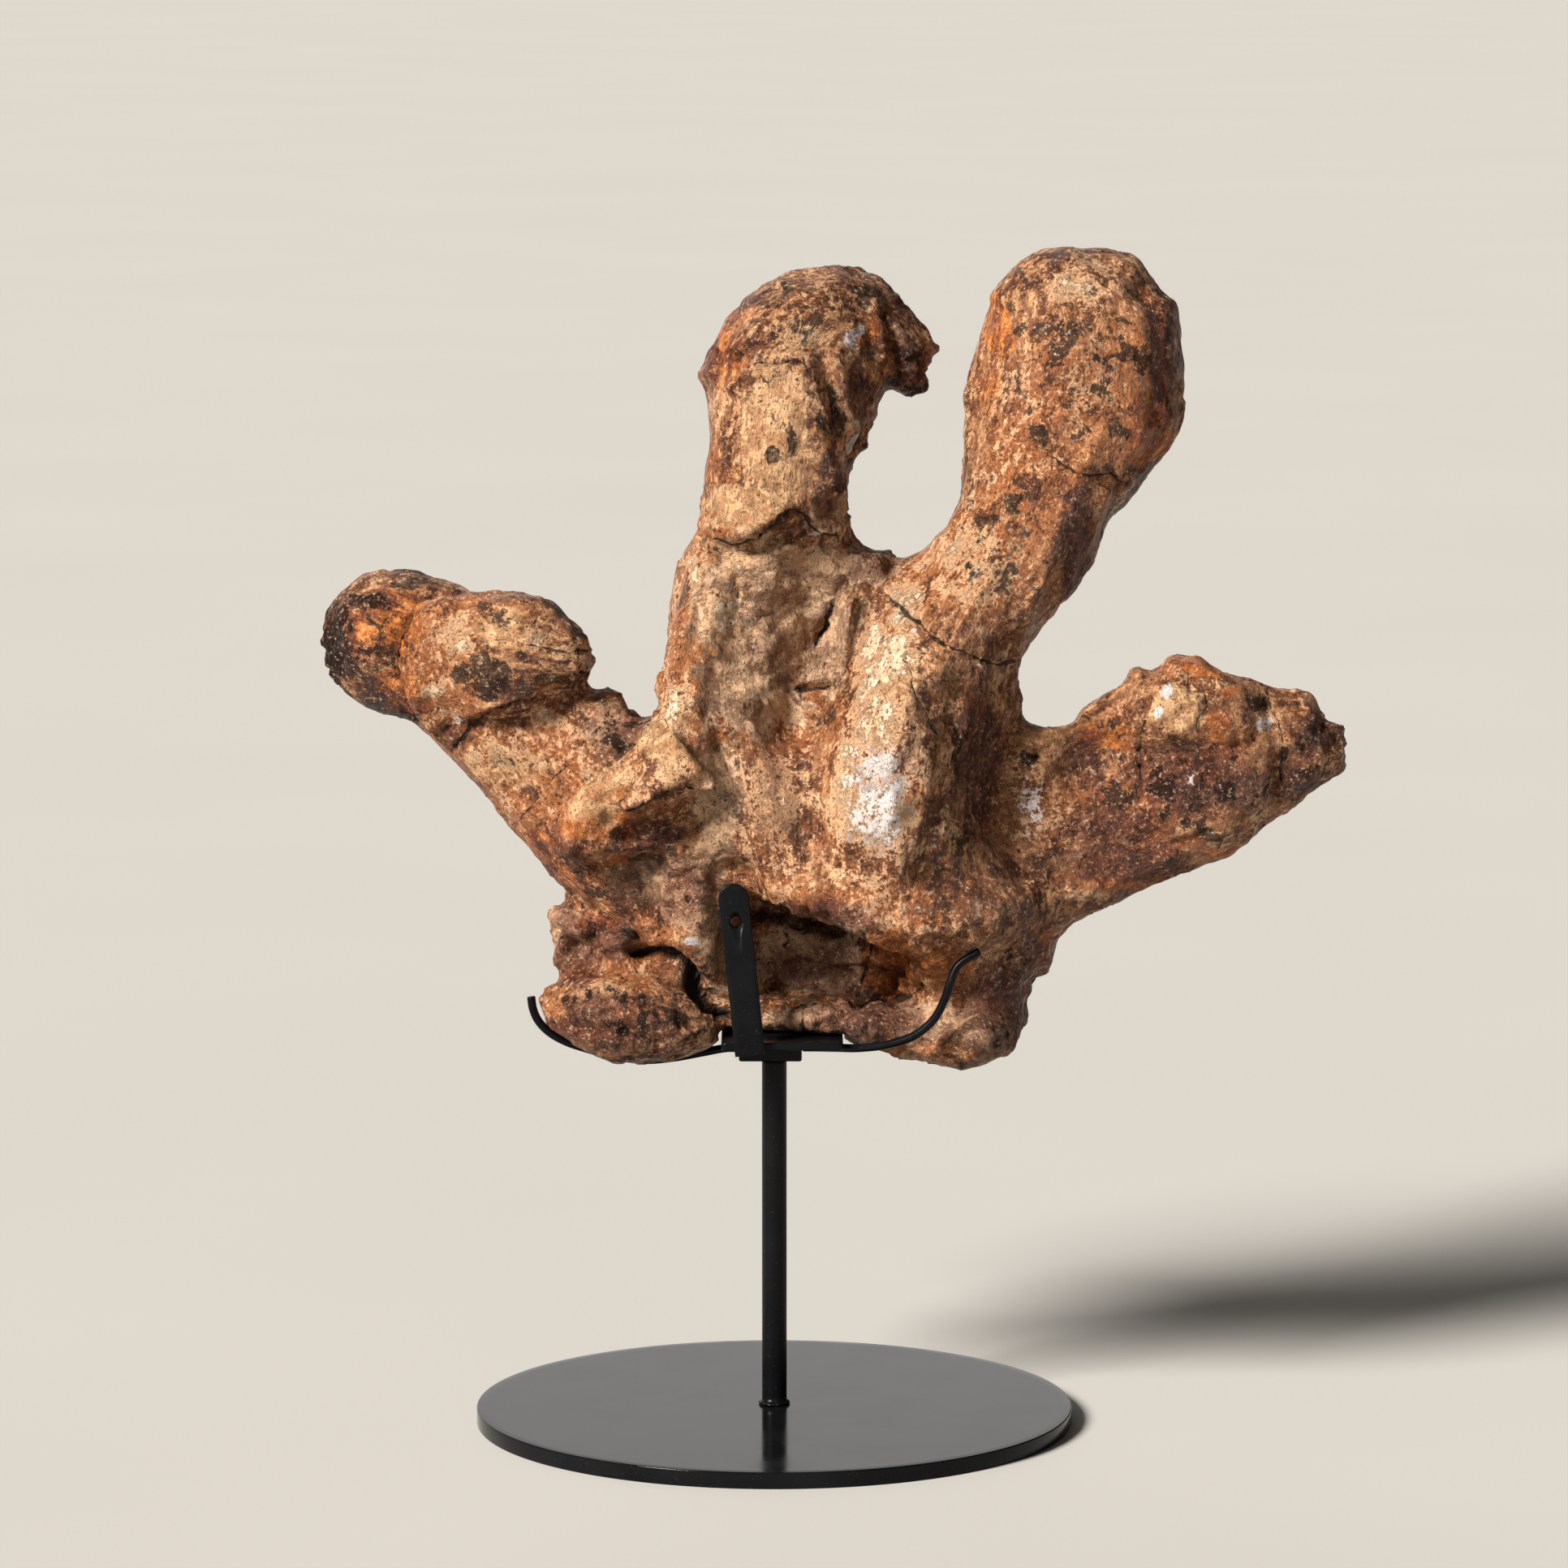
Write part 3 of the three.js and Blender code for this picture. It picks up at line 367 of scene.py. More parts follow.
# Swellings and dents on the front: x, y, half width, half height in pixels, turn in degrees (the
# right end down), height in mm, and the share of the size that is a flat top
SWELLS = {
    "nail": (952, 532, 56, 88, 6, 2.2, .5), "nail_side": (1062, 500, 30, 90, 6, -2.4, .4),
    "horn_brow": (925, 415, 40, 22, -32, 2.0, 0), "horn_crown": (1010, 360, 60, 20, 6, 1.5, 0),
    "horn_lip": (874, 455, 11, 26, 0, 2.5, 0), "tip_face": (1112, 430, 26, 34, 20, -1.6, .2),
    "shelf": (915, 625, 50, 38, -6, 2.8, .7), "shelf_step": (1006, 632, 34, 26, 10, -2.6, .4),
    "shelf_block": (1034, 646, 10, 10, 0, 1.6, .4), "lamina_bulge": (842, 770, 16, 60, 10, 2.5, 0),
    "hollow_deep": (1000, 770, 46, 60, 12, -1.2, .1), "hollow_mound": (898, 770, 34, 60, 0, 2.0, .4),
    "hollow_low_mound": (925, 868, 42, 34, 10, 2.0, .2), "slot": (1010, 776, 8, 14, 20, -4.0, .2),
    "flake_wall": (1052, 770, 20, 52, 16, 2.6, .4), "web_lump": (1075, 690, 34, 16, 14, 2.4, .2),
    "web_lump_left": (1010, 700, 36, 24, 20, 2.0, .2), "root_pillar": (1084, 962, 74, 156, 3, 4.6, .74),
    "root_plane": (1100, 905, 26, 46, 6, 1.6, .6), "root_belly": (1088, 1000, 40, 54, 0, 2.2, .1),
    "hollow_recess": (955, 764, 70, 96, 8, -2.0, .7), "root_side": (1190, 930, 40, 130, 3, -3.2, .5),
    "root_side_low": (1170, 1050, 26, 46, -6, 1.6, .2), "centre_dent": (990, 1010, 14, 70, -4, -2.2, .1),
    "centre_mound": (945, 985, 26, 60, -14, 2.0, .1), "undercut": (800, 1022, 60, 20, -16, -4.0, .35),
    "hook": (726, 1000, 26, 30, -30, 3.2, .3), "hook_inside": (752, 1012, 26, 15, -20, -4.0, .2),
    "pedicle": (852, 1100, 26, 60, 0, 2.4, .2), "pedicle_plaster": (846, 1160, 30, 26, 10, 2.2, .4),
    "left_end_face": (412, 800, 18, 44, -8, -2.6, .3), "left_end_swell": (465, 790, 34, 46, 10, 1.8, .1),
    "lobe": (620, 806, 78, 50, 10, 1.4, .6), "lobe_left": (540, 800, 26, 40, 10, 1.6, .1),
    "lobe_foot_dent": (560, 884, 40, 10, 24, -2.0, 0), "shaft_dent": (624, 951, 38, 8, 36, -3.4, 0),
    "shaft_crest": (632, 927, 54, 11, 34, 3.0, 0), "web_face": (752, 896, 50, 44, 20, 1.0, .4),
    "process_dent": (1346, 930, 54, 60, 10, -7.0, .15), "oval": (1492, 990, 80, 44, -26, 2.2, .5),
    "tip_dent": (1590, 945, 20, 34, 0, -2.0, .1), "tip_fan": (1622, 895, 30, 30, 30, 2.0, .3),
    "valley_hole": (1274, 932, 12, 9, 0, -6.0, .2), "head_low": (1330, 480, 46, 60, 20, 1.6, .2),
    "head_side": (1428, 500, 18, 70, -6, -2.4, .2), "head_crown": (1330, 345, 50, 26, 4, 1.6, .1),
    "head_bulge": (1395, 470, 26, 70, -4, 2.0, .1), "head_facet": (1203, 520, 14, 46, 6, -2.6, .3),
    "collar": (1290, 520, 30, 30, -30, 1.8, .1), "neck_dent": (1300, 560, 40, 14, 14, -1.6, 0),
    "shaft_flat": (1220, 690, 26, 76, 30, 1.4, .3), "shaft_side": (1320, 690, 16, 90, 28, -2.2, .2),
    "break_hole": (1115, 750, 8, 6, 20, -3.5, .2), "knob": (702, 1136, 26, 18, 0, 1.0, .5),
    "knob_recess": (708, 1170, 16, 14, 0, -5.0, .3), "crust": (756, 1158, 26, 16, 8, 1.0, .5),
    "crust_low": (700, 1200, 30, 10, 0, 2.0, .2), "left_lump": (770, 1244, 96, 36, 4, 2.2, .3),
    "lump_brow": (758, 1214, 84, 12, 6, 2.4, .3), "wall_chip": (1072, 1190, 24, 26, 0, 3.6, .6),
    "wall_chip_right": (1150, 1192, 30, 30, 0, 3.4, .6), "wall_dent": (985, 1170, 44, 40, 20, -4.0, .1),
    "floor_lump": (1080, 1262, 40, 18, 6, 3.2, .4), "floor_lump_left": (1005, 1250, 34, 14, 0, 2.4, .4),
    "floor_hole": (1063, 1238, 10, 6, 0, -5.0, .2), "floor_hole_right": (1116, 1216, 12, 8, 0, -5.0, .2),
    "right_foot": (1210, 1270, 44, 34, 0, 2.4, .3),
    "right_foot_dent": (1180, 1240, 14, 30, 10, -3.0, .1), "rim_lump": (985, 1110, 30, 14, 20, 2.4, .2),
    "rim_lump_right": (1120, 1140, 50, 12, 10, 2.0, .2),
}

# Flat pieces with sharp edges: height in mm, how many pixels the edge takes, and the corners
FACETS = {
    "nail": (3.4, 10, ((886, 474), (930, 450), (998, 450), (1012, 500), (1024, 560), (1036, 600),
        (1000, 650), (872, 650), (850, 560))),
    "lobe": (2.8, 8, ((549, 731), (515, 757), (498, 786), (494, 815), (498, 843), (510, 872),
        (530, 900), (572, 898), (640, 868), (712, 846), (744, 812), (726, 762), (690, 720), (600, 700))),
    "web": (1.4, 9, ((700, 850), (716, 844), (760, 850), (806, 880), (800, 908), (760, 940),
        (716, 962), (688, 930))),
    "triangle": (3.6, 7, ((763, 994), (783, 957), (809, 922), (834, 898), (863, 949), (870, 966),
        (825, 972), (775, 998))),
    "triangle_shadow": (-4.5, 12, ((770, 1004), (868, 976), (890, 1004), (850, 1046), (770, 1046),
        (744, 1030))),
    "block": (2.6, 6, ((1418, 852), (1446, 844), (1482, 850), (1486, 878), (1470, 906), (1436, 912),
        (1414, 892))),
    "plate": (2.4, 14, ((1398, 918), (1480, 916), (1545, 902), (1572, 940), (1570, 985), (1520, 1020),
        (1440, 1040), (1406, 1000))),
    "flake_wall": (3.5, 8, ((1034, 716), (1066, 736), (1050, 800), (1044, 850), (1020, 846), (1014, 800))),
    "chunk": (1.8, 6, ((988, 856), (1018, 850), (1024, 876), (1004, 888), (984, 880))),
    "chip": (3.5, 6, ((1058, 1150), (1100, 1156), (1108, 1200), (1082, 1226), (1052, 1200))),
    "chip_right": (3.2, 6, ((1116, 1152), (1176, 1166), (1170, 1212), (1122, 1214))),
    "knob": (4.0, 6, ((674, 1118), (700, 1112), (734, 1134), (730, 1158), (682, 1158))),
    "crust": (3.4, 6, ((728, 1136), (782, 1142), (786, 1164), (738, 1176))),
    "floor_lump": (3.0, 8, ((1046, 1246), (1128, 1240), (1140, 1284), (1060, 1290))),
    "hollow_flake": (1.8, 6, ((906, 700), (960, 690), (990, 716), (960, 744), (912, 740))),
    "hollow_flake_low": (1.6, 6, ((930, 760), (984, 748), (996, 800), (960, 826), (926, 800))),
    "head_flake": (1.2, 5, ((1262, 548), (1300, 560), (1316, 590), (1280, 604), (1240, 590))),
    "end_cut": (-3.0, 8, ((392, 776), (424, 768), (432, 820), (420, 866), (396, 850))),
}

# Where the outline stands out or draws in, front and back alike: written as the swellings are
RIMS = {
    "left_end_top": (440, 714, 66, 30, -20, -2.4, .3), "left_end": (390, 790, 22, 50, 0, -1.8, .3),
    "left_end_foot": (420, 866, 40, 16, 30, -1.0, .2), "lobe_top": (610, 722, 50, 18, 6, -2.0, .3),
    "lobe_shoulder": (706, 762, 26, 22, 40, -2.6, .3), "lobe_tip": (738, 812, 18, 16, 0, 3.4, .3),
    "web_top": (790, 866, 24, 16, 20, -3.2, .3), "web_notch": (748, 846, 14, 10, 20, 1.6, .2),
    "shaft_foot": (650, 1062, 60, 18, 50, -2.4, .3), "knob_top": (690, 1106, 22, 12, 0, -3.2, .3),
    "knob_left": (674, 1160, 12, 30, 0, -2.4, .3), "lump_left": (664, 1222, 18, 26, 0, 1.6, .3),
    "horn_left": (872, 440, 12, 40, 6, 2.4, .3), "horn_lip": (870, 462, 10, 14, 0, 1.4, .3),
    "horn_shoulder": (1114, 376, 40, 26, 50, -3.2, .3), "nub_corner": (1128, 478, 20, 18, 0, 4.6, .5),
    "nub_notch": (1096, 486, 10, 10, 0, -1.6, .3), "nub_tip": (1147, 430, 6, 7, 0, 2.2, .2),
    "nub_bite": (1144, 458, 6, 10, 0, -2.2, .2), "neck_bump": (1074, 552, 10, 14, 0, 2.4, .3),
    "web_between": (1072, 662, 34, 18, 16, -4.8, .4), "head_shoulder": (1424, 348, 30, 40, 40, -3.0, .3),
    "head_foot": (1406, 610, 30, 92, 28, -5.4, .4), "horn_crotch": (1254, 868, 14, 26, 10, 2.4, .3),
    "process_top": (1296, 880, 40, 14, 0, -3.0, .3), "step_foot": (1364, 838, 14, 12, 0, -2.4, .3),
    "step_head": (1398, 826, 14, 9, 0, 2.4, .3), "block_top": (1460, 816, 32, 12, 4, 3.0, .4),
    "tip_top": (1642, 872, 26, 28, 30, -3.2, .3), "tip_foot": (1604, 996, 66, 22, -32, -3.2, .4),
    "mass_side": (1276, 1226, 16, 34, 10, -4.2, .3), "fan_notch": (1590, 858, 10, 8, 0, -1.6, .2),
    "head_corner": (1226, 362, 14, 12, 0, 1.2, .3), "head_left": (1200, 474, 8, 26, 0, 1.2, .3),
}

# Ridges and grooves on the front: height in mm, half width in pixels, and the line in pixels
RIDGES = {
    "nail_edge": (1.8, 9, ((902, 470), (930, 452), (975, 446), (1003, 462), (1014, 510), (1024, 560),
        (1036, 598))),
    "nail_valley": (-4.2, 10, ((1012, 430), (1022, 480), (1033, 530), (1040, 575))),
    "brow": (1.4, 9, ((880, 440), (905, 415), (940, 396), (985, 388), (1030, 392), (1062, 412))),
    "brow_valley": (-2.2, 8, ((905, 452), (935, 430), (975, 420), (1003, 425))),
    "tip_ridge": (1.6, 5, ((1080, 372), (1092, 405), (1096, 445))),
    "tip_ridge_right": (1.6, 5, ((1104, 385), (1116, 415), (1120, 452))),
    "tip_groove": (-1.8, 5, ((1093, 380), (1104, 410), (1108, 448))),
    "horn_left_edge": (1.6, 8, ((874, 500), (868, 560), (866, 610), (868, 645))),
    "shelf_edge": (1.6, 7, ((872, 640), (885, 654), (905, 660), (930, 655), (950, 645), (966, 630))),
    "shelf_shadow": (-5.2, 10, ((870, 668), (890, 680), (915, 682), (940, 674), (962, 660), (985, 648))),
    "block_shadow": (-3.0, 7, ((1012, 664), (1030, 672), (1048, 668))),
    "right_crest": (2.0, 13, ((1345, 560), (1325, 600), (1308, 650), (1290, 700), (1270, 760),
        (1252, 806))),
    "right_edge_light": (1.2, 10, ((1190, 560), (1180, 610), (1165, 650), (1145, 690), (1130, 730))),
    "neck_upper": (1.4, 9, ((1215, 560), (1245, 548), (1280, 552), (1310, 578), (1350, 592))),
    "head_arc": (-1.6, 8, ((1390, 340), (1420, 380), (1436, 430), (1438, 490))),
    "head_arc_rim": (1.4, 8, ((1370, 345), (1400, 390), (1416, 440), (1418, 500), (1405, 560))),
    "head_lines": (-1.0, 5, ((1240, 380), (1232, 430), (1228, 480), (1222, 530))),
    "root_crest": (2.6, 14, ((1178, 800), (1150, 832), (1122, 862), (1104, 910), (1096, 960),
        (1104, 1030), (1112, 1085))),
    "root_left_valley": (-2.6, 11, ((1042, 830), (1026, 870), (1014, 920), (1004, 975), (1002, 1040))),
    "root_right_edge": (1.8, 10, ((1215, 830), (1196, 880), (1180, 940), (1170, 1010), (1172, 1080))),
    "valley": (-2.6, 12, ((1254, 830), (1240, 900), (1236, 970), (1244, 1040), (1262, 1090))),
    "hollow_wall": (-2.6, 7, ((1036, 716), (1024, 756), (1022, 800), (1030, 846))),
    "hollow_wall_edge": (2.2, 6, ((1052, 730), (1040, 770), (1040, 806), (1050, 836))),
    "hollow_left_edge": (-.8, 6, ((858, 740), (856, 800), (866, 850), (880, 900))),
    "scrape_long": (-1.6, 5, ((930, 800), (960, 770), (990, 738), (1016, 716))),
    "scrape_cross": (1.4, 5, ((908, 742), (940, 752), (972, 748), (1000, 756))),
    "scrape_low": (1.6, 5, ((940, 846), (972, 820), (1000, 806))),
    "scrapes": (-1.4, 5, ((905, 712), (945, 700), (985, 704), (1020, 714))),
    "scrapes_low": (1.2, 5, ((930, 730), (960, 722), (1000, 730))),
    "chunk_crack": (-2.0, 4, ((984, 848), (1004, 846), (1020, 844), (1024, 868), (1018, 886))),
    "centre_line": (-1.8, 6, ((880, 905), (900, 950), (925, 1000), (955, 1050), (985, 1078))),
    "centre_line_right": (1.4, 7, ((905, 905), (925, 950), (950, 1000), (980, 1046))),
    "rim": (1.8, 9, ((893, 1084), (920, 1094), (960, 1100), (1000, 1116), (1050, 1134), (1100, 1146),
        (1150, 1150), (1200, 1156))),
    "lamina_edge": (2.4, 8, ((866, 650), (850, 690), (836, 730), (828, 780), (824, 830), (812, 872),
        (800, 900))),
    "lamina_turn": (2.6, 12, ((812, 906), (792, 934), (764, 962), (730, 984), (712, 1006), (710, 1036))),
    "triangle_edge": (1.8, 6, ((766, 992), (790, 990), (820, 982), (850, 972), (870, 962))),
    "pedicle_line": (-1.2, 4, ((828, 1062), (852, 1058), (880, 1060))),
    "pedicle_line_low": (-1.2, 4, ((826, 1080), (852, 1076), (880, 1079))),
    "pedicle_line_foot": (-1.2, 4, ((828, 1100), (850, 1095), (878, 1098))),
    "pedicle_left": (-2.4, 10, ((812, 1050), (804, 1090), (800, 1130))),
    "c_groove": (-2.4, 8, ((549, 731), (515, 757), (498, 786), (494, 815), (498, 843), (508, 870),
        (526, 896))),
    "c_rim": (1.4, 8, ((566, 742), (532, 768), (516, 796), (512, 826), (518, 856))),
    "lobe_bark": (-1.6, 4, ((632, 786), (660, 790), (700, 802), (734, 812))),
    "lobe_bark_low": (-1.6, 4, ((640, 812), (670, 818), (704, 826), (728, 832))),
    "lobe_bark_top": (-1.4, 4, ((650, 768), (676, 776), (706, 790))),
    "lobe_line": (-1.4, 5, ((560, 786), (600, 776), (640, 780), (690, 794), (726, 800))),
    "lobe_line_low": (-1.2, 5, ((586, 870), (620, 858), (660, 850), (700, 836))),
    "lobe_top_edge": (1.6, 7, ((600, 742), (640, 742), (676, 758), (704, 782))),
    "shaft_lower_edge": (1.6, 9, ((520, 905), (560, 940), (600, 985), (640, 1030), (680, 1080))),
    "web_line": (1.4, 6, ((705, 850), (730, 870), (752, 900), (764, 940))),
    "process_top": (3.6, 9, ((1262, 890), (1320, 884), (1350, 866), (1378, 848), (1402, 832))),
    "block_left": (-2.0, 6, ((1412, 860), (1407, 900), (1404, 950), (1404, 985))),
    "process_low_edge": (2.0, 12, ((1300, 1106), (1370, 1086), (1440, 1062), (1500, 1030), (1560, 992))),
    "process_low_valley": (-1.6, 10, ((1310, 1060), (1380, 1044), (1440, 1020), (1490, 990))),
    "tip_line": (-3.0, 6, ((1552, 862), (1568, 900), (1576, 945), (1574, 985))),
    "fan_line": (-2.2, 4, ((1596, 868), (1616, 892), (1640, 930))),
    "fan_line_upper": (-2.2, 4, ((1612, 864), (1632, 888), (1652, 920))),
    "fan_line_lower": (-2.2, 4, ((1584, 888), (1602, 914), (1626, 946))),
    "lump_line": (-3.0, 6, ((668, 1238), (720, 1232), (780, 1230), (840, 1244), (876, 1262))),
    "lump_line_low": (-1.4, 6, ((700, 1262), (760, 1272), (820, 1268), (870, 1256))),
    "chip_edge": (-2.4, 5, ((1104, 1160), (1112, 1190), (1106, 1222))),
    "wall_line": (-2.0, 6, ((950, 1214), (990, 1222), (1040, 1226), (1090, 1228), (1140, 1222))),
}

# Cracks: half width, depth and how far the first side stands proud, in mm, and the line in pixels.
# The first side is the upper one where a line runs to the right.
CRACKS = {
    "left_horn_shelf": (.7, 1.6, 4.2, ((884, 663), (905, 668), (930, 663), (950, 652),
        (966, 636), (978, 628), (990, 634), (1005, 652), (1024, 662))),
    "right_horn_break": (.8, 1.8, 1.2, ((1100, 740), (1112, 752), (1122, 762), (1134, 768),
        (1150, 785), (1180, 803), (1205, 814), (1230, 820), (1254, 812))),
    "right_horn_upper": (.5, 1, 1.4, ((1275, 546), (1290, 554), (1305, 572), (1322, 582),
        (1345, 588), (1370, 586), (1398, 602))),
    "root_hairline": (.3, .5, 0, ((1112, 800), (1128, 850), (1142, 884), (1150, 906))),
    "left_process_break": (.6, 1.4, 1.4, ((560, 918), (580, 896), (612, 872), (640, 866),
        (668, 862), (692, 862), (712, 842))),
    "lobe_edge": (.5, 1.4, 4.5, ((549, 731), (515, 757), (498, 786), (494, 815), (498, 843),
        (508, 870), (526, 896))),
    "lobe_upper": (.4, .8, .6, ((645, 790), (676, 800), (700, 806), (728, 800))),
    "left_shaft_hairline": (.3, .6, 0, ((642, 1008), (662, 980), (676, 962), (694, 942))),
    "lamina_step": (.5, 1.2, -4.5, ((697, 1046), (693, 1018), (702, 990), (722, 974),
        (744, 960), (777, 928), (801, 896))),
    "triangle_foot": (.4, .8, 5.5, ((763, 993), (775, 997), (801, 985), (825, 972), (850, 968),
        (870, 966))),
    "triangle_right": (.3, .6, -3.5, ((838, 904), (845, 920), (863, 949), (870, 966))),
    "triangle_left": (.3, .4, -1.6, ((764, 992), (783, 957), (809, 924), (829, 880))),
    "nail_edge": (.4, .8, -3.4, ((900, 474), (930, 451), (975, 446), (1001, 456), (1013, 500),
        (1025, 560), (1037, 600))),
    "hollow_crack": (.6, 1.8, 1.2, ((982, 850), (1000, 848), (1020, 843), (1026, 860),
        (1020, 884))),
    "lobe_end_gap": (.6, 2, 1.6, ((704, 760), (716, 772), (728, 776), (736, 786))),
    "lobe_end_gap_low": (.5, 1.8, 1.2, ((684, 840), (704, 830), (720, 832), (732, 826))),
    "hollow_slot": (.8, 2.6, 0, ((1006, 796), (1014, 776), (1018, 752), (1026, 742))),
    "lump_gap": (2.6, 10, 0, ((783, 1168), (800, 1178), (822, 1184), (842, 1196), (858, 1212),
        (874, 1230), (897, 1252))),
    "crust_crack": (.7, 1.8, 1, ((735, 1140), (752, 1148), (772, 1146), (785, 1152))),
    "block_crack": (.4, .8, -1.2, ((1412, 872), (1408, 905), (1404, 940), (1402, 975))),
    "lump_hairline": (.3, .6, 0, ((1482, 848), (1487, 866), (1482, 884), (1478, 900))),
    "right_tip_step": (.5, 1.2, -1.4, ((1560, 856), (1574, 885), (1582, 930), (1580, 975))),
    "floor_gap": (1.4, 5, 0, ((1048, 1240), (1068, 1236), (1090, 1228), (1112, 1228), (1139, 1216))),
    "chip_seam": (.7, 1.8, 1.2, ((1062, 1148), (1074, 1172), (1066, 1204), (1056, 1230))),
}
CRACK_REACH = 10 * MM  # how far beside a crack its step fades out
CRACK_END = 6 * MM
CRACK_FAR = 9.0  # in crack widths, too far to show
NARROWEST_GROOVE = 1.0 * MM

# How far a face is turned to the camera, from -1 to 1, where forms and marks start to show and show
# in full
FORMS_SHOW = (-.05, .3)
MARKS_SHOW = (-.4, -.1)

# Ragged edges: size of the shaking noise, its reach in pixels, and its seed
RAGGED_MARKS = (12 * MM, 10, 11)
RAGGED_CRACKS = (7 * MM, 4.0, 31)
RAGGED_FORMS = (8 * MM, 2.5, 151)
RAGGED_RIMS = (8 * MM, 2, 181)

# Skin of the bone. Lumps: height, size, seed and octaves. Pieces: height, size, seed and width of
# the groove between them as a share of the size.
LUMPS = {
    "swells": (1.8 * MM, 42 * MM, 61, 2), "dimples": (1.0 * MM, 14 * MM, 71, 3),
    "fibres": (.45 * MM, 5.5 * MM, 81, 2), "rock": (.9 * MM, 5.5 * MM, 101, 3),
    "breaks": (1.2 * MM, 4 * MM, 121, 2), "grain": (.35 * MM, 4 * MM, 141, 2),
    "bends": (2.5 * MM, 9 * MM, 5, 2),
}
PIECES = {"flakes": (2.2 * MM, 12 * MM, 91, .2), "crumbs": (4.4 * MM, 8 * MM, 111, .3)}
FIBRE_STRETCH = np.array((.22, 1, 1))
PIT_DEPTH = 1.0 * MM
PIT_SPACING = 12 * MM
PEEL_HEIGHT = .9 * MM
SMOOTHING = .6  # of the way to the mean of the neighbours
BODY_GRAIN_DEPTH = 4 * MM  # the body's grain shows where every limb is further away than this
GRAIN_FADE = 1.5 * MM
HOLLOW_REACHES = (5 * MM, 11 * MM, 20 * MM)

# Colours of the fossil from 0 to 255, as seen on a screen
TONES = {
    "tan": (128, 76, 45), "tan_light": (200, 145, 98),
    "brown": (86, 43, 20), "brown_light": (150, 92, 50),
    "ochre": (168, 98, 48), "pale": (228, 180, 138), "dark": (60, 28, 11),
    "rust": (116, 50, 16), "rust_light": (222, 130, 50),
    "smooth_tan": (174, 124, 82), "smooth_tan_light": (226, 178, 130),
    "rock": (142, 104, 78), "rock_light": (206, 162, 124),
    "rock_crumbs": (224, 182, 144), "rock_stain": (108, 72, 48),
    "cream_wash": (220, 170, 126), "cream": (226, 178, 134), "cream_light": (251, 222, 190),
    "fibre_gaps": (92, 50, 26), "charcoal": (12, 8, 6), "charcoal_light": (56, 39, 31),
    # (40, 18, 7) in the next line is painted shade, laid in the hollows; umber is brown stain and also
    # painted shade
    "umber": (118, 62, 30), "hollow_shade": (40, 18, 7), "pores": (48, 30, 20),
    # (216, 208, 206) at the end of the next line is white glue, and also a painted sheen
    "dust": (56, 26, 10), "dust_light": (252, 214, 172), "glue": (216, 208, 206), "crack": (26, 16, 11),
}


# Numbers


def ease(low, high, value):
    """0 below low, 1 above high, and an S-curve between."""
    t = np.clip((value - low) / (high - low), 0, 1)
    return t * t * (3 - 2 * t)


def scatter(cell, seed):
    """A repeatable random number from 0 to 1 for each whole-numbered cell: its three numbers hashed."""
    mask = 0xFFFFFFFF
    n = (cell[..., 0] * 374761393 + cell[..., 1] * 668265263 + cell[..., 2] * 1440662683) & mask
    n = (n + seed * 974634777) & mask
    n = ((n ^ (n >> 13)) * 1274126177) & mask
    n = ((n ^ (n >> 15)) * 668265263) & mask
    return (n ^ (n >> 16)).astype(float) / mask


def lattice_noise(points, size, seed):
    """Random numbers on a cubic lattice of that size, blended by a smooth curve, from -1 to 1."""
    place = points / size
    low = np.floor(place).astype(np.int64)
    t = place - low
    t = t * t * t * (t * (t * 6 - 15) + 10)
    total = np.zeros(len(points))
    for corner in np.ndindex(2, 2, 2):
        weight = np.prod(np.where(np.array(corner) == 1, t, 1 - t), axis=1)
        total += weight * scatter(low + np.array(corner), seed)
    return total * 2 - 1


TURN = np.array(((.36, .48, -.8), (-.8, .6, 0), (.48, .64, .6)))


def noise(points, size, seed, octaves):
    """Lattice noise, each octave turned, half the size and half the height of the one before."""
    total = np.zeros(len(points))
    height = 1.0
    for octave in range(octaves):
        total += height * lattice_noise(points, size, seed + octave)
        points = points @ TURN
        size, height = size / 2, height / 2
    return total


def chips(points, size, seed):
    """Distance to the nearest and second nearest of centres scattered one to a cell, in cells, and
    a random number for the nearest."""
    place = points / size
    home = np.floor(place).astype(np.int64)
    near = np.full(len(points), 9.0)
    second = np.full(len(points), 9.0)
    which = np.zeros(len(points))
    for shift in np.ndindex(3, 3, 3):
        cell = home + np.array(shift) - 1
        centre = cell + np.stack([scatter(cell, seed + axis) for axis in range(3)], 1)
        distance = np.linalg.norm(place - centre, axis=1)
        closer = distance < near
        second = np.where(closer, near, np.minimum(second, distance))
        which = np.where(closer, scatter(cell, seed + 7), which)
        near = np.minimum(near, distance)
    return near, second, which


def through(stations, steps):
    """Smooth curve through rows of numbers: a Catmull-Rom spline, with some steps from each to the next."""
    rows = np.asarray(stations, float)
    rows = np.vstack((2 * rows[0] - rows[1], rows, 2 * rows[-1] - rows[-2]))
    t = (np.arange(steps) / steps)[None, :, None]
    a, b, c, d = (rows[i:len(rows) - 3 + i, None, :] for i in range(4))
    curve = .5 * (2 * b + (c - a) * t + (2 * a - 5 * b + 4 * c - d) * t**2 + (3 * b - a - 3 * c + d) * t**3)
    return np.vstack((curve.reshape(-1, rows.shape[1]), rows[-2]))


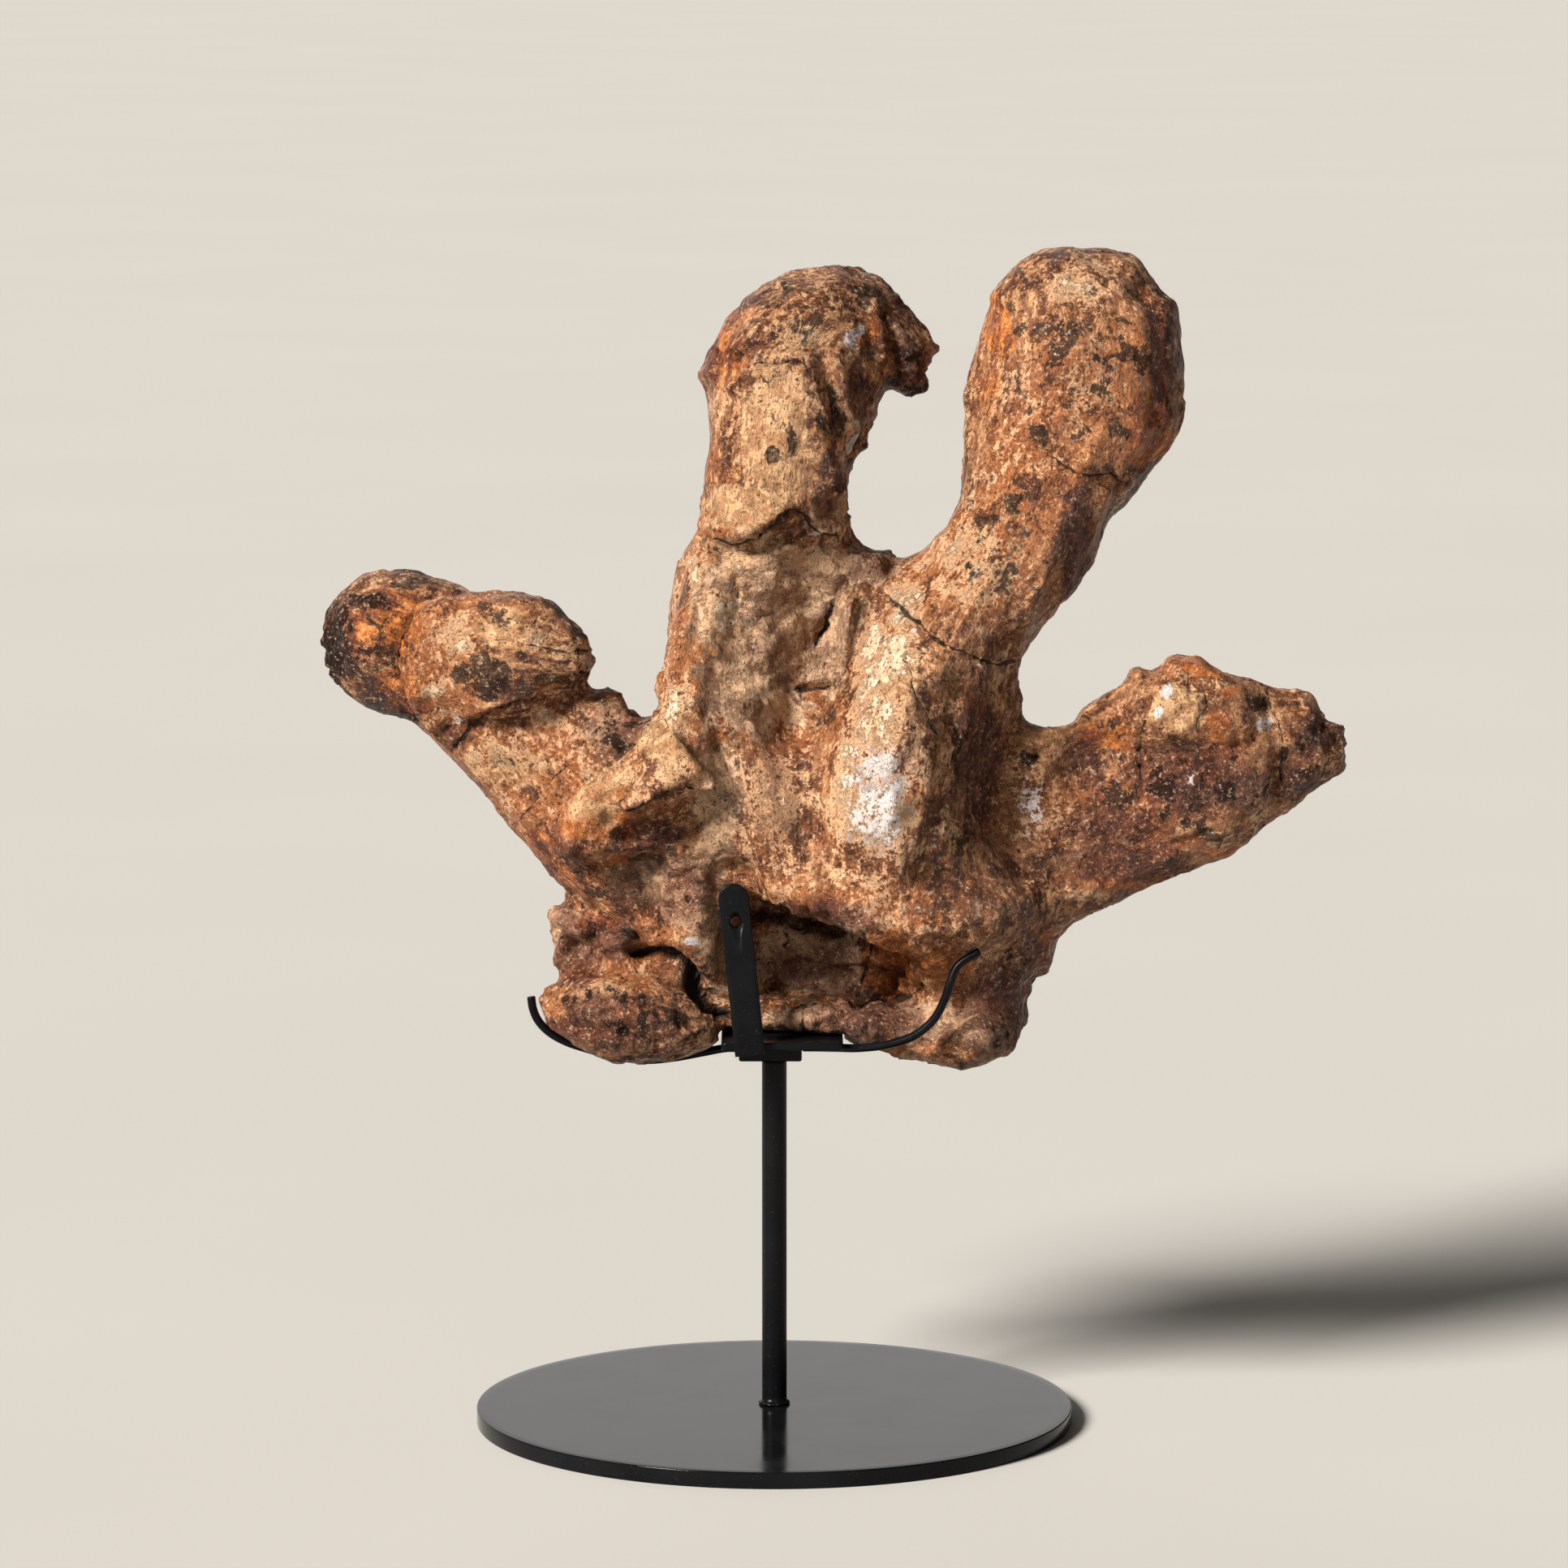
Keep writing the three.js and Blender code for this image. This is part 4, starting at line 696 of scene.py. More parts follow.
def bent_rod(route, steps):
    """Smooth curve through a rod's points, paced by the root of their distances, so it never loops."""
    points = np.asarray(route, float)
    points = np.vstack((2 * points[0] - points[1], points, 2 * points[-1] - points[-2]))
    pace = np.sqrt(np.linalg.norm(np.diff(points, axis=0), axis=1))[:, None]
    a, b, c, d = (points[i:len(points) - 3 + i] for i in range(4))
    before, here, after = pace[:-2], pace[1:-1], pace[2:]
    start = ((b - a) / before - (c - a) / (before + here) + (c - b) / here) * here
    end = ((c - b) / here - (d - b) / (here + after) + (d - c) / after) * here
    t = (np.arange(steps) / steps)[None, :, None]
    b, c, start, end = (v[:, None, :] for v in (b, c, start, end))
    curve = b + start * t + (3 * (c - b) - 2 * start - end) * t**2 + (2 * (b - c) + start + end) * t**3
    return np.vstack((curve.reshape(-1, 3), points[-2]))


def photo_place(points):
    """Pixel of the photograph's frame at which each point shows: a pinhole view from the camera's place."""
    turn, drop = math.cos(CAMERA_PITCH), math.sin(CAMERA_PITCH)
    rel = points - np.array(CAMERA_PLACE)
    depth = rel[:, 1] * turn - rel[:, 2] * drop
    rise = rel[:, 1] * drop + rel[:, 2] * turn
    focus = LENS / SENSOR * PHOTO_SIDE
    return np.stack((PHOTO_SIDE / 2 + focus * rel[:, 0] / depth, PHOTO_SIDE / 2 - focus * rise / depth), 1)


# Bone


def limb_depth(points, limb, with_grain=False):
    """How far points lie outside a limb (negative inside), and their place in its grain.

    The limb is a chain of sections. Each is a rounded box of the given fullness, half as wide as its
    rib and as deep as the rib says, that slides and swells from one station to the next. The grain's
    place is the length along the chain, and the shares across and deep times the mean half sizes.
    """
    _, fullness, ribs = limb
    s = through(ribs, 4) * MM
    centre = np.stack(((s[:, 0] + s[:, 2]) / 2, s[:, 4], (s[:, 1] + s[:, 3]) / 2), 1)
    across = np.stack((s[:, 2] - s[:, 0], s[:, 3] - s[:, 1]), 1)
    half = np.linalg.norm(across, axis=1) / 2
    across /= 2 * half[:, None]
    half = np.maximum(half, 3 * MM)
    deep = np.maximum(s[:, 5], 3 * MM)
    length = np.concatenate(((0,), np.cumsum(np.linalg.norm(np.diff(centre, axis=0), axis=1))))
    best = np.full(len(points), 1.0)
    grain = np.zeros((len(points), 3))
    for i in range(len(s) - 1):
        run = centre[i + 1] - centre[i]
        t = np.clip((points - centre[i]) @ run / (run @ run), 0, 1)
        offset = points - centre[i] - t[:, None] * run
        a = across[i] + t[:, None] * (across[i + 1] - across[i])
        w = half[i] + t * (half[i + 1] - half[i])
        d = deep[i] + t * (deep[i + 1] - deep[i])
        c = np.minimum(w, d)
        sideways = offset[:, 0] * a[:, 0] + offset[:, 2] * a[:, 1]
        onward = offset[:, 2] * a[:, 0] - offset[:, 0] * a[:, 1]
        shares = np.stack((sideways / w, offset[:, 1] / d, onward / c), 1)
        outside = np.sum(np.abs(shares)**fullness, axis=1)**(1 / fullness)
        reach = np.sqrt(np.sum(shares**2, axis=1)) + 1e-6
        slope = np.sqrt((shares[:, 0] / w)**2 + (shares[:, 1] / d)**2 + (shares[:, 2] / c)**2) + 1e-6
        depth = reach * (outside - 1) / slope
        if with_grain:
            closer = (depth < best)[:, None]
            along = length[i] + t * (length[i + 1] - length[i]) + onward
            place = np.stack((along, shares[:, 0] * half.mean(), shares[:, 1] * deep.mean()), 1)
            grain = np.where(closer, place, grain)
        best = np.minimum(best, depth)
    return (best, grain) if with_grain else best


def join(a, b, soft):
    """The nearer of two depths, with a fillet where they are about as near."""
    overlap = np.maximum(soft - np.abs(a - b), 0) / soft
    return np.minimum(a, b) - overlap * overlap * soft / 4


def strap_room(points):
    """How deep points lie in the room of the front strap, which is open towards the front."""
    foot, head = np.array(STRAP_FOOT), np.array(STRAP_HEAD)
    run = head - foot
    rel = points[:, [0, 2]] - foot
    t = np.clip(rel @ run / (run @ run), 0, 1)
    away = np.linalg.norm(rel - t[:, None] * run, axis=1)
    return np.minimum(STRAP_WIDTH / 2 + 2 * GAP - away, STRAP_BACK + 2 * GAP - points[:, 1])


def stand_room(points):
    """How deep points lie in the room that the arms, the hub and the rest plate need."""
    room = np.full(len(points), -.05)
    for route in (LEFT_ARM_ROUTE, RIGHT_ARM_ROUTE):
        line = bent_rod(route, 3)
        for start, end in zip(line[:-1], line[1:]):
            run = end - start
            t = np.clip((points - start) @ run / (run @ run), 0, 1)
            away = np.linalg.norm(points - start - t[:, None] * run, axis=1)
            room = np.maximum(room, ROD_RADIUS + 2 * GAP - away)
    for low, high in ((HUB_LOW, HUB_HIGH), (PLATE_LOW, PLATE_HIGH)):
        middle = (np.array(low) + np.array(high)) / 2
        size = (np.array(high) - np.array(low)) / 2 + 2 * GAP
        room = np.maximum(room, np.min(size - np.abs(points - middle), axis=1))
    return room


def bone_depth(points):
    """Depth of points outside the bone: limbs joined, hollows cut, the stand's room cut. A limb is
    worked out only for the points near it."""
    depth = np.full(len(points), .06)
    for limbs, cut in ((LIMBS, False), (HOLLOWS, True)):
        for limb in limbs.values():
            soft = limb[0] * MM
            ribs = through(limb[2], 4) * MM
            left, right = ribs[:, [0, 4, 1]], ribs[:, [2, 4, 3]]
            reach = ribs[:, 5].max() + soft + 6 * MM
            low = np.minimum(left, right).min(0) - reach
            high = np.maximum(left, right).max(0) + reach
            near = np.all((points > low) & (points < high), axis=1)
            old = depth[near]
            new = limb_depth(points[near], limb)
            depth[near] = -join(-old, new, soft) if cut else join(old, new, soft)
    near = np.all((points > STAND_ROOM_LOW) & (points < STAND_ROOM_HIGH), axis=1)
    depth[near] = -join(-depth[near], -stand_room(points[near]), STAND_ROOM_SOFT)
    depth[near] = -join(-depth[near], -strap_room(points[near]), STRAP_ROOM_SOFT)
    return depth


def grid_points(step):
    """Points of the bone's cubic grid of that step, and how many there are each way."""
    counts = np.ceil((BONE_HIGH - BONE_LOW) / step).astype(int) + 1
    axes = [BONE_LOW[i] + step * np.arange(counts[i]) for i in range(3)]
    return np.stack([g.ravel() for g in np.meshgrid(*axes, indexing="ij")], 1), counts


def bone_depths():
    """Depth at each point of the fine grid: blended from a coarse grid, and worked out anew near the
    surface."""
    points, counts = grid_points(COARSE_STEP)
    coarse = bone_depth(points).reshape(counts)
    points, counts = grid_points(BONE_STEP)
    depths = sample(coarse, points, COARSE_STEP)
    near = np.abs(depths) < SURFACE_BAND
    depths[near] = bone_depth(points[near])
    return depths.reshape(counts)


def skin(depths):
    """Closed quad mesh where the depth is 0: a vertex in each cell that the surface crosses, at the
    mean of its edges' crossings, and a quad across each crossed edge of the grid."""
    inside = depths < 0
    n = np.array(depths.shape)
    corners = list(np.ndindex(2, 2, 2))
    cut = [inside[i:n[0] - 1 + i, j:n[1] - 1 + j, k:n[2] - 1 + k] for i, j, k in corners]
    count = np.sum(cut, axis=0)
    active = (count > 0) & (count < 8)
    cells = np.argwhere(active)
    index = np.full(active.shape, -1)
    index[active] = np.arange(len(cells))
    value = {c: depths[cells[:, 0] + c[0], cells[:, 1] + c[1], cells[:, 2] + c[2]] for c in corners}
    total = np.zeros((len(cells), 3))
    crossings = np.zeros(len(cells))
    for a in corners:
        for axis in range(3):
            if a[axis] == 0:
                b = tuple(v + (i == axis) for i, v in enumerate(a))
                crosses = (value[a] < 0) != (value[b] < 0)
                step = np.where(crosses, value[a] / np.where(crosses, value[a] - value[b], 1), 0)
                place = np.array(a, float) + step[:, None] * np.eye(3)[axis]
                total += np.where(crosses[:, None], place, 0)
                crossings += crosses
    points = BONE_LOW + BONE_STEP * (cells + total / crossings[:, None])
    quads = []
    for axis in range(3):
        on = np.eye(3, dtype=int)[axis]
        first = inside[tuple(slice(0, n[q] - on[q]) for q in range(3))]
        second = inside[tuple(slice(on[q], n[q]) for q in range(3))]
        edges = np.argwhere(first != second)
        u, v = (axis + 1) % 3, (axis + 2) % 3
        starts_inside = first[edges[:, 0], edges[:, 1], edges[:, 2]]

        def cell(back_u, back_v):
            place = edges.copy()
            place[:, u] -= back_u
            place[:, v] -= back_v
            return index[place[:, 0], place[:, 1], place[:, 2]]

        quad = np.stack((cell(1, 1), cell(0, 1), cell(0, 0), cell(1, 0)), 1)
        quad[~starts_inside] = quad[~starts_inside][:, ::-1]
        quads.append(quad)
    return points, np.vstack(quads)


def sample(depths, points, step=BONE_STEP):
    """Depth at points between the grid's, by straight blending of the eight around each."""
    place = np.clip((points - BONE_LOW) / step, 0, np.array(depths.shape) - 1.001)
    low = place.astype(int)
    t = place - low
    total = np.zeros(len(points))
    for corner in np.ndindex(2, 2, 2):
        weight = np.prod(np.where(np.array(corner) == 1, t, 1 - t), axis=1)
        i, j, k = (low + np.array(corner)).T
        total += weight * depths[i, j, k]
    return total


def outward(depths, points):
    """Direction in which the depth grows fastest, from differences across a grid step."""
    slopes = []
    for shift in BONE_STEP * np.eye(3):
        slopes.append(sample(depths, points + shift) - sample(depths, points - shift))
    slope = np.stack(slopes, 1)
    return slope / (np.linalg.norm(slope, axis=1)[:, None] + 1e-9)


def neighbours_mean(values, edges):
    """Mean of the values at the other ends of each vertex's edges."""
    size = len(values)
    first, second = edges.T
    count = np.bincount(first, minlength=size) + np.bincount(second, minlength=size)
    columns = [
        np.bincount(first, column[second], size) + np.bincount(second, column[first], size)
        for column in values.T
    ]
    return np.stack(columns, 1) / count[:, None]


def mesh_edges(quads):
    """Each edge of the quads once."""
    sides = np.vstack([quads[:, [i, (i + 1) % 4]] for i in range(4)])
    return np.unique(np.sort(sides, axis=1), axis=0)


def ragged_view(pixels, points, size, reach, seed):
    """Pixels shaken by noise of that size, by about that many pixels, so that drawn forms get
    ragged edges."""
    shake = [noise(points, size, seed + 10 * axis, 4) for axis in range(2)]
    return pixels + reach * np.stack(shake, 1)


def spot_distance(seen, x, y, wide, high, turn=0):
    """Distance from a spot's middle in shares of its half width and half height."""
    angle = math.radians(turn)
    right, down = seen[:, 0] - x, seen[:, 1] - y
    along = right * math.cos(angle) + down * math.sin(angle)
    across = down * math.cos(angle) - right * math.sin(angle)
    return np.hypot(along / wide, across / high)


def line_distance(seen, line):
    """Distance in pixels to a line of points, the same with a sign for the side, and how far past
    the line's ends."""
    best = np.full(len(seen), 9999.0)
    side = np.full(len(seen), 9999.0)
    for (x0, y0), (x1, y1) in zip(line[:-1], line[1:]):
        run = np.array((x1 - x0, y1 - y0), float)
        rel = seen - (x0, y0)
        t = np.clip(rel @ run / (run @ run), 0, 1)
        away = np.linalg.norm(rel - t[:, None] * run, axis=1)
        cross = (run[1] * rel[:, 0] - run[0] * rel[:, 1]) / np.linalg.norm(run)
        closer = away < best
        best = np.where(closer, away, best)
        side = np.where(closer, cross, side)
    past_end = np.sqrt(np.maximum(best**2 - side**2, 0))
    return np.where(side < 0, -1, 1) * best, past_end


def inside_corners(seen, corners):
    """How many pixels inside a convex outline of corners a place lies, negative outside."""
    ring = np.array(corners, float)
    inside = np.full(len(seen), 9999.0)
    middle = ring.mean(0)
    for start, end in zip(ring, np.roll(ring, -1, axis=0)):
        run = (end - start) / np.linalg.norm(end - start)
        square = np.array((-run[1], run[0]))
        square *= np.sign((middle - start) @ square)
        inside = np.minimum(inside, (seen - start) @ square)
    return inside


def mark_strengths(pixels, wrap, points):
    """Strength of each kind of mark: 1 in the middle of its ellipse, fading over a ragged edge, on
    faces that the photograph shows. What is broken is broken round the back too."""
    seen = ragged_view(pixels, points, *RAGGED_MARKS)
    strengths = {}
    for kind, spots in MARKS.items():
        total = np.zeros(len(points))
        for x, y, wide, high, strength in spots.values():
            away = spot_distance(seen, x, y, wide, high)
            total = np.maximum(total, strength * (1 - ease(MARK_CORE, MARK_EDGE, away)))
        strengths[kind] = total if kind == "broken" else total * wrap
    return strengths


def crack_lines(pixels, facing, points):
    """For each crack: how far beside it a point lies, in metres, positive on its first side, and how
    much of it is there, fading past its ends."""
    seen = ragged_view(pixels, points, *RAGGED_CRACKS)
    lines = {}
    for name, (_, _, _, line) in CRACKS.items():
        beside, past_end = line_distance(seen, line)
        lines[name] = beside * PIXEL, (1 - ease(.1, 1, past_end * PIXEL / CRACK_END)) * facing
    return lines


def sculpted(pixels, facing, points):
    """Height of the swellings, dents, ridges and grooves, in metres."""
    seen = ragged_view(pixels, points, *RAGGED_FORMS)
    out = np.zeros(len(points))
    for x, y, wide, high, turn, height, flat in SWELLS.values():
        away = spot_distance(seen, x, y, wide, high, turn)
        out += height * MM * (1 - ease(flat, 1.3 - .35 * flat, away))
    for height, edge, corners in FACETS.values():
        out += height * MM * ease(0, edge, inside_corners(seen, corners))
    for height, width, line in RIDGES.values():
        beside, past_end = line_distance(seen, line)
        out += height * MM * np.exp(-(beside / width)**2) * (1 - ease(0, 2, past_end / width))
    return out * facing


def trimmed(pixels, points):
    """Height by which the outline's corrections move the surface, in metres."""
    seen = ragged_view(pixels, points, *RAGGED_RIMS)
    out = np.zeros(len(points))
    for x, y, wide, high, turn, height, flat in RIMS.values():
        out += height * MM * (1 - ease(flat, 1.3, spot_distance(seen, x, y, wide, high, turn)))
    return out


def lumps(points, kind):
    """Rounded lumps of one kind, in metres: noise of their size, times their height."""
    height, size, seed, octaves = LUMPS[kind]
    return height * noise(points, size, seed, octaves)


def broken_pieces(points, kind):
    """Flat pieces, in metres: each cell's random number about 0, times the height, easing to 0
    where its two nearest centres are about as near."""
    height, size, seed, groove = PIECES[kind]
    near, second, which = chips(points, size, seed)
    return height * (which - .5) * ease(.02, groove, second - near)


def relief(points, marks, lines, grains, weights, hollow):
    """How far the surface stands out from the smooth form, in metres, apart from what is sculpted:
    lumps all over, fibres and peeled skin on bone, flakes on rock, crumbs where it is broken, less
    the pits and the cracks, plus the side of each crack that stands proud."""
    rock_patches = ease(.1, .7, noise(points, 40 * MM, 51, 2))
    matrix = np.clip(marks["matrix"] + .5 * rock_patches, 0, 1)
    bony = 1 - matrix
    out = lumps(points, "swells") + lumps(points, "dimples")
    fibre = np.zeros(len(points))
    for name, grain in grains.items():
        fibre += weights[name] * lumps(grain * FIBRE_STRETCH, "fibres")
    out += fibre * bony
    bent = points + lumps(points, "bends")[:, None]
    out += matrix * (broken_pieces(bent, "flakes") + lumps(points, "rock"))
    out += marks["broken"] * (broken_pieces(bent, "crumbs") + lumps(points, "breaks"))
    near, _, which = chips(points, PIT_SPACING, 131)
    pit = (1 - ease(.08, .26, near)) * (which > .5)
    out -= PIT_DEPTH * pit * (.4 + .6 * bony)
    peeled = ease(.18, .23, noise(points, 20 * MM, 161, 5)) - .5
    out += PEEL_HEIGHT * peeled * bony
    out += lumps(points, "grain") * (.6 + hollow)
    for name, (width, depth, step, _) in CRACKS.items():
        beside, here = lines[name]
        groove = np.exp(-(beside / max(width * MM, NARROWEST_GROOVE))**2)
        out -= here * depth * MM * groove
        proud = np.where(beside * step > 0, 1 - ease(0, 1, np.abs(beside) / CRACK_REACH), 0)
        out += here**3 * abs(step) * MM * proud
    return out


def hollows_and_ridges(depths, points, normals):
    """How deep each point lies in a hollow and how far out on a ridge, from 0 to 1: how far the depth
    lags behind a step outwards, or inwards, as a share of the step, and the mean over the reaches."""
    hollow = np.zeros(len(points))
    ridge = np.zeros(len(points))
    for reach in HOLLOW_REACHES:
        hollow += np.clip(1 - sample(depths, points + reach * normals) / reach, 0, 1)
        ridge += np.clip(1 + sample(depths, points - reach * normals) / reach, 0, 1)
    return hollow / len(HOLLOW_REACHES), ridge / len(HOLLOW_REACHES)


def limb_grains(points):
    """Place of the points in each grain, and each grain's share there, which falls off exponentially
    with the distance from its limbs. The shares sum to 1."""
    grains = {"body": points[:, [2, 0, 1]]}
    away = {"body": np.full(len(points), BODY_GRAIN_DEPTH)}
    for name, limbs in GRAINS.items():
        best = np.full(len(points), 1.0)
        grain = np.zeros((len(points), 3))
        for limb in limbs:
            depth, place = limb_depth(points, LIMBS[limb], with_grain=True)
            grain = np.where((depth < best)[:, None], place, grain)
            best = np.minimum(best, depth)
        grains[name] = grain
        away[name] = best
    share = {name: np.exp(-np.clip(depth, -4 * MM, 1) / GRAIN_FADE) for name, depth in away.items()}
    total = sum(share.values())
    return grains, {name: value / total for name, value in share.items()}


def nearest_cracks(points, lines):
    """Distance to the nearest crack in shares of its width, which varies along it, and how much of
    it is there."""
    line = np.full(len(points), CRACK_FAR)
    line_here = np.zeros(len(points))
    opening = np.clip(.75 + .8 * noise(points, 6 * MM, 171, 3), .15, 1.5)
    for name, (width, _, _, _) in CRACKS.items():
        beside, here = lines[name]
        share_of_width = beside / (width * MM * opening)
        strength = here * (1 - ease(3, 7, np.abs(share_of_width)))
        nearer = np.abs(share_of_width) < np.abs(line)
        line = np.where(nearer, share_of_width, line)
        line_here = np.where(nearer, strength, line_here)
    return line, line_here


def clear_of_stand(points, normals):
    """Points drawn inwards, three times, by how deep they lie in the stand's room."""
    for _ in range(3):
        room = np.maximum(stand_room(points), strap_room(points))
        points = points - np.clip(room + GAP, 0, None)[:, None] * normals
    return points


def make_bone():
    """The vertebra as one closed mesh: the skin of the depths, evened out twice and put back on the
    surface, then moved along its normals by the relief and towards the viewer by what is sculpted.
    Its marks, cracks and grain are kept on its vertices."""
    depths = bone_depths()
    points, quads = skin(depths)
    edges = mesh_edges(quads)
    for _ in range(2):
        points = points + SMOOTHING * (neighbours_mean(points, edges) - points)
        points -= sample(depths, points)[:, None] * outward(depths, points)
    normals = outward(depths, points)
    towards = np.array(CAMERA_PLACE) - points
    towards /= np.linalg.norm(towards, axis=1)[:, None]
    turned_to_view = np.sum(normals * towards, axis=1)
    facing = ease(*FORMS_SHOW, turned_to_view)
    pixels = photo_place(points)
    marks = mark_strengths(pixels, ease(*MARKS_SHOW, turned_to_view), points)
    lines = crack_lines(pixels, facing, points)
    hollow, ridge = hollows_and_ridges(depths, points, normals)
    grains, weights = limb_grains(points)
    out = relief(points, marks, lines, grains, weights, hollow) + trimmed(pixels, points)
    forward = sculpted(pixels, facing, points)
    points = points + out[:, None] * normals + forward[:, None] * towards
    points = clear_of_stand(points, normals)

    mesh = bpy.data.meshes.new("fossil_bone")
    mesh.from_pydata(points, [], quads)
    mesh.shade_smooth()
    values = {kind: strength for kind, strength in marks.items() if kind != "broken"}
    values["hollow"] = hollow
    values["ridge"] = ridge
    values["crack"], values["crack_here"] = nearest_cracks(points, lines)
    for name, weight in weights.items():
        values["share_" + name] = weight
    for name, value in values.items():
        layer = mesh.attributes.new(name, "FLOAT", "POINT")
        layer.data.foreach_set("value", value.astype(np.float32))
    for name, grain in grains.items():
        layer = mesh.attributes.new("grain_" + name, "FLOAT_VECTOR", "POINT")
        layer.data.foreach_set("vector", grain.astype(np.float32).ravel())
    return mesh


# Stand shapes


def grid_mesh(name, rows, closed_rows=False):
    """Mesh of a grid of points, rows of rings: quads between neighbours, rings closed, and a pole of
    triangles at each end unless the rows close too."""
    count, sides, _ = rows.shape
    points = rows.reshape(-1, 3)
    row = np.arange(count if closed_rows else count - 1)[:, None]
    column = np.arange(sides)[None, :]
    after_row, after_column = (row + 1) % count, (column + 1) % sides
    faces = np.stack((
        row * sides + column, row * sides + after_column,
        after_row * sides + after_column, after_row * sides + column), -1).reshape(-1, 4).tolist()
    if not closed_rows:
        poles = np.stack((rows[0].mean(0), rows[-1].mean(0)))
        start, end = len(points), len(points) + 1
        points = np.vstack((points, poles))
        last = (count - 1) * sides
        around, onward = np.arange(sides), (np.arange(sides) + 1) % sides
        faces += np.stack((np.full(sides, start), onward, around), 1).tolist()
        faces += np.stack((np.full(sides, end), last + around, last + onward), 1).tolist()
    mesh = bpy.data.meshes.new(name)
    mesh.from_pydata(points, [], faces)
    mesh.shade_smooth()
    return mesh


def turned(name, profile, sides, wobble=None):
    """Profile of (radius, height) rows turned about the Z axis, from the lowest row up."""
    angle = np.arange(sides) * 2 * math.pi / sides
    radius, height = np.array(profile, float).T[:, :, None]
    grown = radius if wobble is None else radius + wobble(radius, height, angle[None, :])
    rows = np.stack((grown * np.cos(angle), grown * np.sin(angle), height + 0 * angle), -1)
    return grid_mesh(name, rows)


def rounded_edge(radius, low, high, bevel):
    """Profile of a round plate: up its wall, with a quarter-round of the bevel's size at both edges."""
    angle = np.linspace(0, math.pi / 2, 5)
    lower = np.stack((radius - bevel + bevel * np.sin(angle), low + bevel - bevel * np.cos(angle)), 1)
    upper = np.stack((radius - bevel + bevel * np.cos(angle), high - bevel + bevel * np.sin(angle)), 1)
    return lower, upper


def make_base_disc():
    """Round plate: flat faces, with a small rounded edge below and above."""
    radius = DISC_HIGH.x
    lower, upper = rounded_edge(radius, DISC_LOW.z, DISC_HIGH.z, DISC_BEVEL)
    inner = np.array((.02, .2, .5, .8, .97)) * (radius - DISC_BEVEL)
    floor = np.stack((inner, np.full(len(inner), DISC_LOW.z)), 1)
    top = np.stack((inner[::-1], np.full(len(inner), DISC_HIGH.z)), 1)
    return turned("base_disc", np.vstack((floor, lower, upper, top)), 256)


def make_post():
    """Round bar with a lumpy weld bead at its foot and a small rounded head."""
    low, high = POST_LOW.z, POST_HIGH.z
    bead = (
        (.4, 0), (1.24, 0), (1.23, .00045), (1.17, .0009), (1.08, .00125), (1.01, .0016), (1, .003),
    )
    profile = [(POST_RADIUS * share, low + height) for share, height in bead]
    profile += [(POST_RADIUS, height) for height in np.linspace(low + .004, high - .002, 24)]
    profile += [(POST_RADIUS * .97, high), (POST_RADIUS * .4, high)]

    def weld_ripples(radius, height, angle):
        """How far the bead's ripples stand out, in metres."""
        bead_share = np.clip((radius / POST_RADIUS - 1) / .2, 0, 1)
        return bead_share * .35 * MM * (np.sin(9 * angle) * .5 + np.sin(23 * angle + 1) * .3)

    return turned("post", profile, 72, weld_ripples)


def make_slab(name, low, high, corner, bevel):
    """Flat bar: a rounded rectangle carried up its thickness, drawn in round each edge, and drawn in
    to its middle over both faces."""
    middle = np.array(((low[0] + high[0]) / 2, (low[1] + high[1]) / 2))
    half = np.array(((high[0] - low[0]) / 2, (high[1] - low[1]) / 2))
    turn = np.linspace(0, math.pi / 2, 7)
    outline = []
    for quarter, (sx, sy) in enumerate(((1, 1), (-1, 1), (-1, -1), (1, -1))):
        angle = turn + quarter * math.pi / 2
        direction = np.stack((np.cos(angle), np.sin(angle)), 1)
        outline.append(((half - corner) * (sx, sy), direction))
    rows = []
    round_turn = np.linspace(0, math.pi / 2, 5)
    edge = [(bevel * (1 - math.sin(a)), low[2] + bevel * (1 - math.cos(a))) for a in round_turn]
    edge += [(bevel * (1 - math.cos(a)), high[2] - bevel * (1 - math.sin(a))) for a in round_turn]
    for inset, height in edge:
        ring = np.vstack([centre + direction * (corner - inset) for centre, direction in outline]) + middle
        rows.append(np.column_stack((ring, np.full(len(ring), height))))

    def drawn_in(ring, share):
        """The ring drawn in towards the middle, to that share of its size."""
        return np.column_stack(((ring[:, :2] - middle) * share + middle, ring[:, 2]))

    for share in (.8, .5, .0625):
        rows.insert(0, drawn_in(rows[0], share))
        rows.append(drawn_in(rows[-1], share))
    return grid_mesh(name, np.array(rows))


